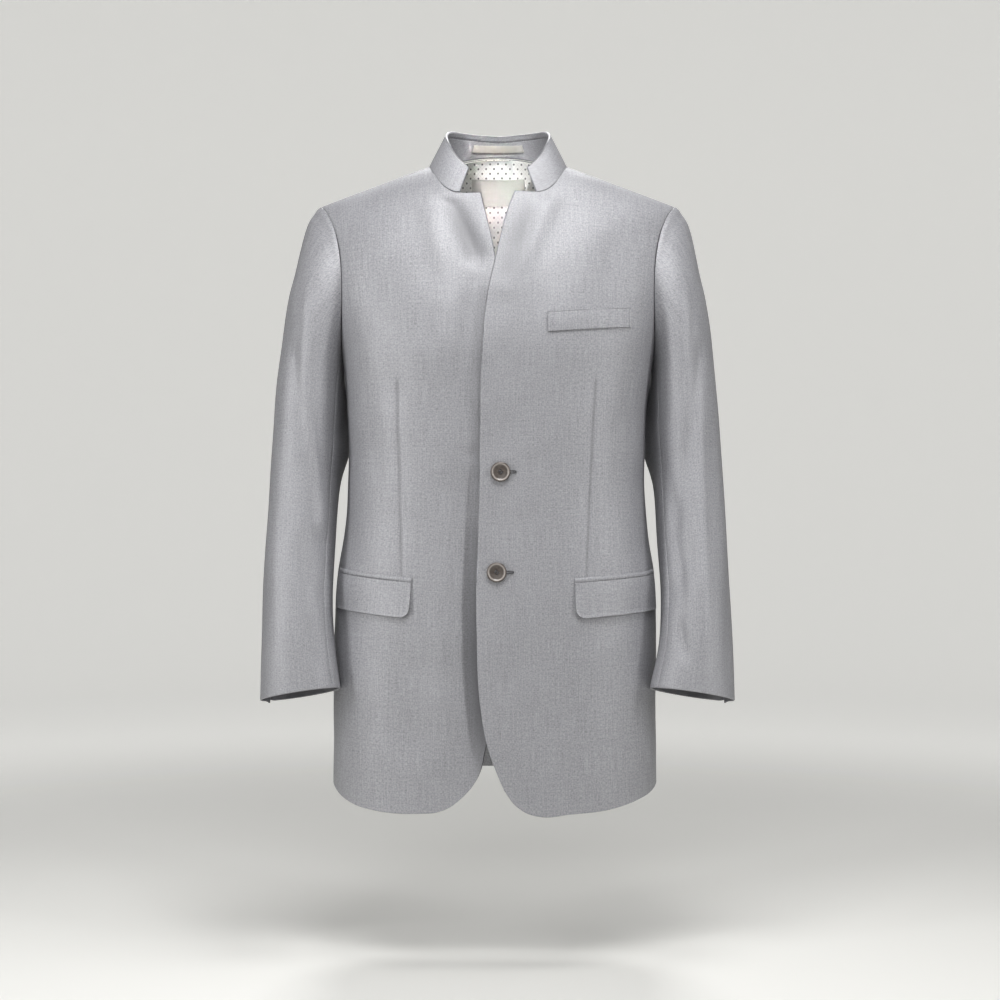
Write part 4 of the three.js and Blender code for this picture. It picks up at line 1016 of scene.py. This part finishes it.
def makeCollar():
    # outer layer with its top edge folded in over the inner layer, then the tab inside
    turns = lerp(-neck["endAngle"], neck["endAngle"], packed(220, [(0, 0.02, 1), (1, 0.02, 1)]))
    second = cloth["wall"] + collar["layers"]
    heights = packed(24, [(0, 0.1, 1), (1, 0.1, 1)])
    outer, inner, normal = collarGrid(turns, heights, 0, cloth["wall"], collar["lift"], 0, 0.5)
    uv, up = gridUV(outer), runLengths(outer)[1]
    folded = smooth(up - up[-1:], 0.35 - collar["innerDrop"], 1.2 - collar["innerDrop"])
    inner = inner - normal * (folded * (collar["layers"] + collar["innerWall"] - 0.3))[..., None]
    makePiece("collar_outer", outer, inner, uv, (0.4, 1.7, 0.9, 0.9))
    outer, inner, _ = collarGrid(turns, heights, second, collar["innerWall"], 0.9, collar["innerDrop"], -0.2)
    makePiece("collar_inner", outer, inner, uv, (0.4, 0.5, 0.7, 0.7))
    reach = np.degrees(np.arcsin(tab["halfWidth"] / tab["ringX"]))
    turns = np.linspace(-reach, reach, 80)
    outer, inner, _ = collarGrid(turns, np.linspace(0, 1, 10), second + collar["innerWall"] + tab["clear"],
                                 cloth["patch"], tab["low"], tab["high"], -0.3, level=True)
    makePiece("hanger_tab", outer, inner, gridUV(outer), (0.3,) * 4, "patch")


makeCollar()
print("collar made")


# Lining and label

lining = {"topDrop": -0.5, "sideDrop": 6, "halfWidth": 150, "lowZ": -205, "bow": 14, "outAngle": 122,
          "clear": 1.9, "ease": 0.8, "pleat": 2.2, "pleatX": 3, "pleatReach": 5}
label = {"x0": -37.4, "x1": 37.4, "top": -0.6, "bottom": -34.8, "band": 8.0, "clear": 1.5}


def makeLining():
    # upper back lining, eased and with a small pleat low in the middle, then the label on it
    tCols, rows = np.linspace(0, 1, 131), np.linspace(0, 1, 81)
    t, v = tCols[None, :], rows[:, None]
    across = 2 * t - 1
    sign, part = np.where(across < 0, -1, 1), np.abs(across)
    topX = lining["halfWidth"] * part
    neckAngle = np.degrees(np.arcsin(np.minimum(1, topX / body["neckX"])))
    seamZ = np.where(topX < body["neckX"], neckSeam(neckAngle, 1)[1], ridgeZ(topX, True))
    topZ = seamZ - lerp(lining["topDrop"], lining["sideDrop"], smooth(topX, 55, 105))
    topAngle = angleAt(np.maximum(topX, 0.01), topZ, True)
    rise = np.sin(np.radians(90 * v))
    angle = sign * np.minimum(179.99, lerp(lerp(180, lining["outAngle"], part), topAngle, rise))
    z = lerp(lining["lowZ"] + lining["bow"] * part ** 2, topZ, rise)
    base = bodyAt(angle, z)
    x, inset = base[..., 0], cloth["wall"] + lining["clear"]
    ease = lining["ease"] * softNoise(x, z, 61, 60) * smooth(v, 0, 0.1) * (1 - smooth(v, 0.85, 1))
    pleat = lining["pleat"] * bell(x - lining["pleatX"], lining["pleatReach"]) * (1 - smooth(v, 0.2, 0.55))
    outer, inner = bodyPanel(angle, z, -inset - np.abs(ease) - pleat, cloth["lining"])
    run, up = runLengths(outer)
    uv = np.stack([run - run[:, 65:66], up], -1) * mm
    makePiece("lining_back", outer, inner, uv, (0.4, 0.3, 0.4, 0.4), "lining")
    x = lerp(label["x0"], label["x1"], np.linspace(0, 1, 60))[None, :]
    z = np.linspace(label["bottom"], label["top"], 36)[:, None]
    x, z = x + 0 * z, z + 0 * x
    angle = angleAt(x, z, True)
    depth = inset + cloth["lining"] + label["clear"]
    outer, inner = bodyPanel(angle, z, -depth, cloth["patch"])
    band = smooth(-z, -label["bottom"] - label["band"], -label["bottom"] - label["band"] + 0.6)
    makePiece("label_patch", outer, inner, gridUV(outer), (0.3,) * 4, "patch", band)


makeLining()
print("lining made")


# Pockets

pockets = {
    "left": {"sign": 1, "frontX": 94.7, "endAngle": 78, "frontZ": -532.5, "endZ": -524},
    "right": {"sign": -1, "frontX": -107, "endAngle": 77, "frontZ": -532, "endZ": -521.6},
    "jet": 5.6, "jetWall": 1.6, "high": 45, "cornerX": 11, "cornerZ": 12, "standOff": 3.0, "lean": 0.3,
    "jetRound": 0.7, "wave": 0.35, "rim": 0.35,
}
welt = {"x0": 61.6, "x1": 167, "z0": -201, "z1": -192.5, "high": 25.3, "wall": 1.8,
        "round": 0.5, "dip": 0.7}


def makePocket(side):
    # narrow jet, then the flap below it with its rounded corner; its low edge stands off a little
    pocket = pockets[side]
    sign = pocket["sign"]
    start = angleAt(pocket["frontX"], pocket["frontZ"])
    width = np.abs(bodyAt(start, pocket["frontZ"]) - bodyAt(sign * pocket["endAngle"], pocket["endZ"]))[0]

    def liftOf(angle, z):
        return frontLift(bodyAt(angle, z)[..., 0], z, sign < 0) + cloth["lay"]

    t, v = np.linspace(0, 1, 120)[None, :], np.linspace(0, 1, 12)[:, None]
    angle = lerp(start, sign * pocket["endAngle"], t) + 0 * v
    z = lerp(pocket["frontZ"], pocket["endZ"], t) - pockets["jet"] * (1 - v)
    lift = liftOf(angle, z) + pockets["jetWall"] + pockets["jetRound"] * np.sin(np.pi * v) - 0.3
    outer, inner = bodyPanel(angle, z, lift, pockets["jetWall"])
    uv = clothUV(angle, runLengths(outer)[1], z[:1])
    makePiece("jet_" + side, outer, inner, uv, (0.6, 0.5, 0.5, 0.5))
    t, v = packed(110, [(0, 0.06, 2)])[None, :], packed(44, [(0, 0.08, 1)])[:, None]
    low = np.maximum(0, 1 - t * width / pockets["cornerX"])
    cut = pockets["cornerZ"] * (1 - np.sqrt(np.maximum(0, 1 - low ** 2)))
    down = (pockets["high"] - cut) * (1 - v)
    angle = lerp(start, sign * pocket["endAngle"], t)
    angle = angle + sign * pockets["lean"] * (down / pockets["high"]) * (1 - t)
    z = lerp(pocket["frontZ"], pocket["endZ"], t) - pockets["jet"] - cloth["seam"] - down
    off = pockets["standOff"] * (1 - v) ** 1.5 * (1 - 0.85 * t)
    wave = pockets["wave"] * softNoise(angle * 2.4, z, 71 + sign, 55) * (1 - v)
    lift = liftOf(angle, z) + cloth["wall"] + off + wave - 0.5 * v ** 6
    outer, inner = bodyPanel(angle, z, lift, cloth["wall"])
    across, up = runLengths(outer)
    rim = np.minimum(np.minimum(across, across[:, -1:] - across), up)
    outer = outer + bodyNormal(angle, z) * (pockets["rim"] * bell(rim - 1.5, 1.5))[..., None]
    uv = clothUV(angle, up, z[:1])
    makePiece("flap_" + side, outer, inner, uv, (1.0, 0.3, 1.0, 1.0))


def makeWelt():
    # straight band, softly rounded, with a dip along each sewn end
    t, v = np.linspace(0, 1, 110)[None, :], np.linspace(0, 1, 30)[:, None]
    x = lerp(welt["x0"], welt["x1"], t) + 0 * v
    z = lerp(welt["z0"], welt["z1"], t) - welt["high"] * (1 - v)
    angle = angleAt(x, z)
    lift = frontLift(x, z, False) + cloth["lay"] + welt["wall"]
    outer, inner = bodyPanel(angle, z, lift, welt["wall"])
    across, up = runLengths(outer)
    ends = np.minimum(across, across[:, -1:] - across)
    crown = welt["round"] * np.sin(np.pi * v) - welt["dip"] * bell(ends - 2.2, 0.8)
    outer = outer + bodyNormal(angle, z) * crown[..., None]
    uv = clothUV(angle, up, z[:1])
    makePiece("breast_welt", outer, inner, uv, (0.5, 1.0, 0.5, 0.5))


for side in ("left", "right"):
    makePocket(side)
makeWelt()
print("pockets made")


# Buttons, their thread and the buttonholes

buttons = {
    "spots": {"button_upper": {"x": 3, "z": -400, "turn": 38, "slit": 19.5},
              "button_lower": {"x": -1.7, "z": -524.5, "turn": 52, "slit": 21}},
    "lay": 0.6, "holeAt": 2.3, "hole": 1.1, "holeDepth": 1.9, "highlightRingAt": 9.9, "highlightRingReach": 0.9,
    "threadRadius": 0.55, "purlRadius": 0.62, "slitHigh": 1.5,
    "under": table("r y", (12.5, 1.4), (12.1, 0.6), (11.2, 0.1), (6.0, 0.0), (0.05, 0.0)),
    "profile": table("r y",
        (0.0, 2.3), (4.4, 2.25), (7.4, 2.55), (8.9, 3.05), (9.8, 3.85), (10.7, 4.2), (11.6, 4.0),
        (12.25, 3.2), (12.5, 2.1)),
}


def seatOf(x, z):
    # place on the over front, and the directions across, up and out of the cloth there
    angle = angleAt(x, z)
    normal = bodyNormal(angle, z)
    place = bodyAt(angle, z) + normal * frontLift(x, z, False)
    across = unit(np.cross(np.array([0.0, 0, 1]), normal))
    return place, across, np.cross(normal, across), normal


def camelName(name):
    return name.title().replace("_", "")


def capQuads(ring):
    # fan of quads over an even ring of points
    return np.array([[ring[0], ring[k], ring[k + 1], ring[k + 2]] for k in range(1, len(ring) - 2, 2)])


def makeButton(name):
    # disc turned from its profile, with four dimples sunk where the thread goes through
    spot = buttons["spots"][name]
    place, across, up, out = seatOf(spot["x"], spot["z"])
    height = curveThrough(buttons["profile"], "r", "y")
    turns = np.radians(np.arange(0, 360, 3.75))[None, :]
    r = np.concatenate([np.linspace(0.05, 4.5, 24), np.linspace(4.8, 12.5, 26)])[:, None]
    y = height(r) + 0 * turns
    px, pz = r * np.cos(turns), r * np.sin(turns)
    for k in range(4):
        at = np.radians(45 + 90 * k + spot["turn"])
        far = np.hypot(px - buttons["holeAt"] * np.cos(at), pz - buttons["holeAt"] * np.sin(at))
        y = y - buttons["holeDepth"] * (1 - smooth(far, buttons["hole"] * 0.55, buttons["hole"] * 1.15))
    # painted highlight: a lighter ring near the raised rim
    tone = bell(r - buttons["highlightRingAt"], buttons["highlightRingReach"]) + 0 * turns
    lowR, lowY = (np.array([[row[key]] for row in buttons["under"]]) for key in ("r", "y"))
    allR, allY = np.concatenate([r, lowR]), np.concatenate([y, lowY + 0 * turns])
    tone = np.concatenate([tone, 0 * lowR + 0 * turns])
    local = np.stack([allR * np.cos(turns), allR * np.sin(turns), allY], -1)
    seat = place + out * buttons["lay"]
    points = seat + local @ np.stack([across, up, out])
    rows, cols = points.shape[:2]
    index = np.arange(rows * cols).reshape(rows, cols)
    nextCol = np.roll(index, -1, axis=1)
    quads = np.stack([index[:-1], nextCol[:-1], nextCol[1:], index[1:]], -1).reshape(-1, 4)
    quads = np.concatenate([quads, capQuads(index[0]), capQuads(index[-1][::-1])])
    obj = meshFrom(camelName(name), points.reshape(-1, 3) * mm, quads, None, tone.ravel())
    settle(obj, materials["button"])
    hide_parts(name)
    return seat, across, up, out


def tubeAlong(name, path, radius, sides, material):
    # round tube carried along a path of points, closed at both ends or round on itself
    closed = np.allclose(path[0], path[-1])
    path = path[:-1] if closed else path
    ahead = np.roll(path, -1, 0) - np.roll(path, 1, 0) if closed else np.gradient(path, axis=0)
    ahead = unit(ahead)
    across = unit(np.cross(ahead, np.array([0.0, 1, 0.02])))
    above = np.cross(ahead, across)
    turns = 2 * np.pi * np.arange(sides) / sides
    size = np.broadcast_to(radius, (len(path),))[:, None, None]
    ring = across[:, None] * np.cos(turns)[None, :, None] + above[:, None] * np.sin(turns)[None, :, None]
    points = path[:, None] + ring * size
    index = np.arange(len(path) * sides).reshape(len(path), sides)
    after = np.roll(index, -1, 0) if closed else index[1:]
    here = index if closed else index[:-1]
    quads = np.stack([here, np.roll(here, -1, 1), np.roll(after, -1, 1), after], -1).reshape(-1, 4)
    if not closed:
        quads = np.concatenate([quads, capQuads(index[0][::-1]), capQuads(index[-1])])
    settle(meshFrom(name, points.reshape(-1, 3) * mm, quads), material)


def makeThread(name, seat, across, up, out):
    # two bars of thread over the button's middle, each between two of its holes
    spot = buttons["spots"][name]
    for k in (0, 1):
        ends = [np.radians(45 + 90 * n + spot["turn"]) for n in (2 * k, 2 * k + 1)]
        a, b = (np.array([np.cos(e), np.sin(e)]) * buttons["holeAt"] for e in ends)
        s = np.linspace(0, 1, 15)[:, None]
        flat = lerp(a, b, s)
        rise = 1.6 + 1.35 * np.sin(np.pi * s) ** 0.5
        path = seat + flat[:, :1] * across + flat[:, 1:] * up + rise * out
        label = f"{camelName(name)}Thread{k + 1}"
        tubeAlong(label, path, buttons["threadRadius"], 8, threadFinish)


def makeButtonhole(name):
    # purled thread round a slit from under the button to its outer end
    spot = buttons["spots"][name]
    place, across, up, out = seatOf(spot["x"], spot["z"])
    length, high = spot["slit"] + 3, buttons["slitHigh"]
    turns = np.linspace(0, 2 * np.pi, 181)
    straight = (length / 2 - high) * np.clip(np.cos(turns) * 1.15, -1, 1)
    px = spot["slit"] / 2 - 1.5 + straight + high * np.cos(turns)
    pz = high * np.sign(np.sin(turns)) * np.abs(np.sin(turns)) ** 0.6
    path = place + px[:, None] * across + pz[:, None] * up + 0.35 * out
    path[-1] = path[0]
    radius = buttons["purlRadius"] * (1 + 0.18 * np.sin(turns[:-1] * 62))
    tubeAlong(camelName(name) + "Hole", path, radius, 6, threadFinish)


for name in buttons["spots"]:
    makeThread(name, *makeButton(name))
    makeButtonhole(name)
print("buttons made")


# Studio: a pale floor that curves up to a pale wall all round, soft lights, and the camera

studio = {"floorZ": -1.02, "floorRadius": 3.2, "bend": 2.0, "wallTop": 6.0,
          "tone": grey(0.70, 0.696, 0.67), "floorGlow": 0.03, "wallGlow": 0.50,
          "glowNear": 1.1, "glowFar": 2.6, "worldTone": (0.93, 0.94, 0.96, 1), "worldPower": 0.05}


def makeStage():
    # profile of flat floor, quarter circle and upright wall, turned once around the middle
    s = np.linspace(0, np.pi / 2, 24)
    r = np.concatenate([[0.01, 1.0, 2.0], studio["floorRadius"] + studio["bend"] * np.sin(s),
                        [studio["floorRadius"] + studio["bend"]]])
    z = np.concatenate([[0, 0, 0], studio["bend"] * (1 - np.cos(s)), [studio["wallTop"]]]) + studio["floorZ"]
    turns = np.linspace(0, 2 * np.pi, 97)[:-1]
    points = np.stack([r[:, None] * np.cos(turns), r[:, None] * np.sin(turns), z[:, None] + 0 * turns], -1)
    index = np.arange(r.size * turns.size).reshape(r.size, turns.size)
    nextCol = np.roll(index, -1, axis=1)
    quads = np.stack([index[:-1], index[1:], nextCol[1:], nextCol[:-1]], -1).reshape(-1, 4)
    mesh = bpy.data.meshes.new("studioSweep")
    mesh.from_pydata(points.reshape(-1, 3).tolist(), [], quads.tolist() + [index[0].tolist()])
    mesh.shade_smooth()
    sweep = addObject("studioSweep", mesh)
    material, tree, shader = newMaterial("paleGlowingPaper", **{  # painted light: glows for camera rays only, brighter further out
        "Base Color": studio["tone"], "Roughness": 0.9, "Specular IOR Level": 0.1,
        "Emission Color": grey(1.0, 0.995, 0.965)})
    distance = node(tree, "ShaderNodeVectorMath", {0: objectPlace(tree)}, operation="LENGTH").outputs["Value"]
    # painted light: the glow grows from floor to wall and is seen only by the camera
    glow = node(tree, "ShaderNodeMapRange", {
        "Value": distance, "From Min": studio["glowNear"], "From Max": studio["glowFar"],
        "To Min": studio["floorGlow"], "To Max": studio["wallGlow"]}, interpolation_type="SMOOTHSTEP")
    seen = node(tree, "ShaderNodeLightPath").outputs["Is Camera Ray"]
    tree.links.new(maths(tree, "MULTIPLY", glow.outputs[0], seen), shader.inputs["Emission Strength"])
    sweep.data.materials.append(material)


def addLight(name, place, target, size, power, spread):
    # rectangular light aimed at its target; spread is in degrees
    data = bpy.data.lights.new(name, "AREA")
    data.shape, data.size, data.size_y = "RECTANGLE", size[0], size[1]
    data.energy, data.spread = power, np.radians(spread)
    light = addObject(name, data)
    light.location = place
    direction = np.array(target) - np.array(place)
    light.rotation_euler = Vector(direction).to_track_quat("-Z", "Y").to_euler()
    light.visible_camera = False


lights = table("name place target size power spread",
    ("frontSoftbox", (-0.3, -3.1, 0.4), (0, 0, -0.3), (1.2, 1.2), 8, 180),
    ("topSoftbox", (-0.05, -1.35, 1.5), (0, 0, -0.15), (1.5, 0.7), 40, 180),
    ("crownSoftbox", (0.35, -0.35, 1.5), (0.05, 0, -0.1), (0.9, 0.6), 3.2, 80),
    ("leftStrip", (-1.7, -1.1, -0.1), (0, 0, -0.55), (0.25, 1.2), 16, 180),
    ("rightStrip", (1.7, -1.1, 0.0), (0, 0, -0.45), (0.25, 1.2), 12, 180),
    ("neckSpot", (0, -1.9, 0.06), (0, 0.1, -0.015), (0.05, 0.05), 0.034, 3.8),
    ("backSoftbox", (0, 2.4, 2.3), (0, 0, -0.35), (1.2, 0.8), 6, 50))
view = {"away": 2.4, "height": -0.435, "focus": 66.1, "shift": 0.002}


def makeStudio():
    makeStage()
    for light in lights:
        addLight(**light)
    world = bpy.data.worlds.new("softRoom")
    bpy.context.scene.world = world
    world.use_nodes = True
    background = world.node_tree.nodes["Background"]
    background.inputs["Color"].default_value = studio["worldTone"]
    background.inputs["Strength"].default_value = studio["worldPower"]
    data = bpy.data.cameras.new("photoCamera")
    data.lens, data.sensor_width, data.shift_x = view["focus"], 36, view["shift"]
    camera = addObject("photoCamera", data)
    camera.location = (0, -view["away"], view["height"])
    camera.rotation_euler = (np.pi / 2, 0, 0)
    bpy.context.scene.camera = camera
    bpy.context.scene.view_settings.view_transform = "Standard"


makeStudio()
print("studio made")
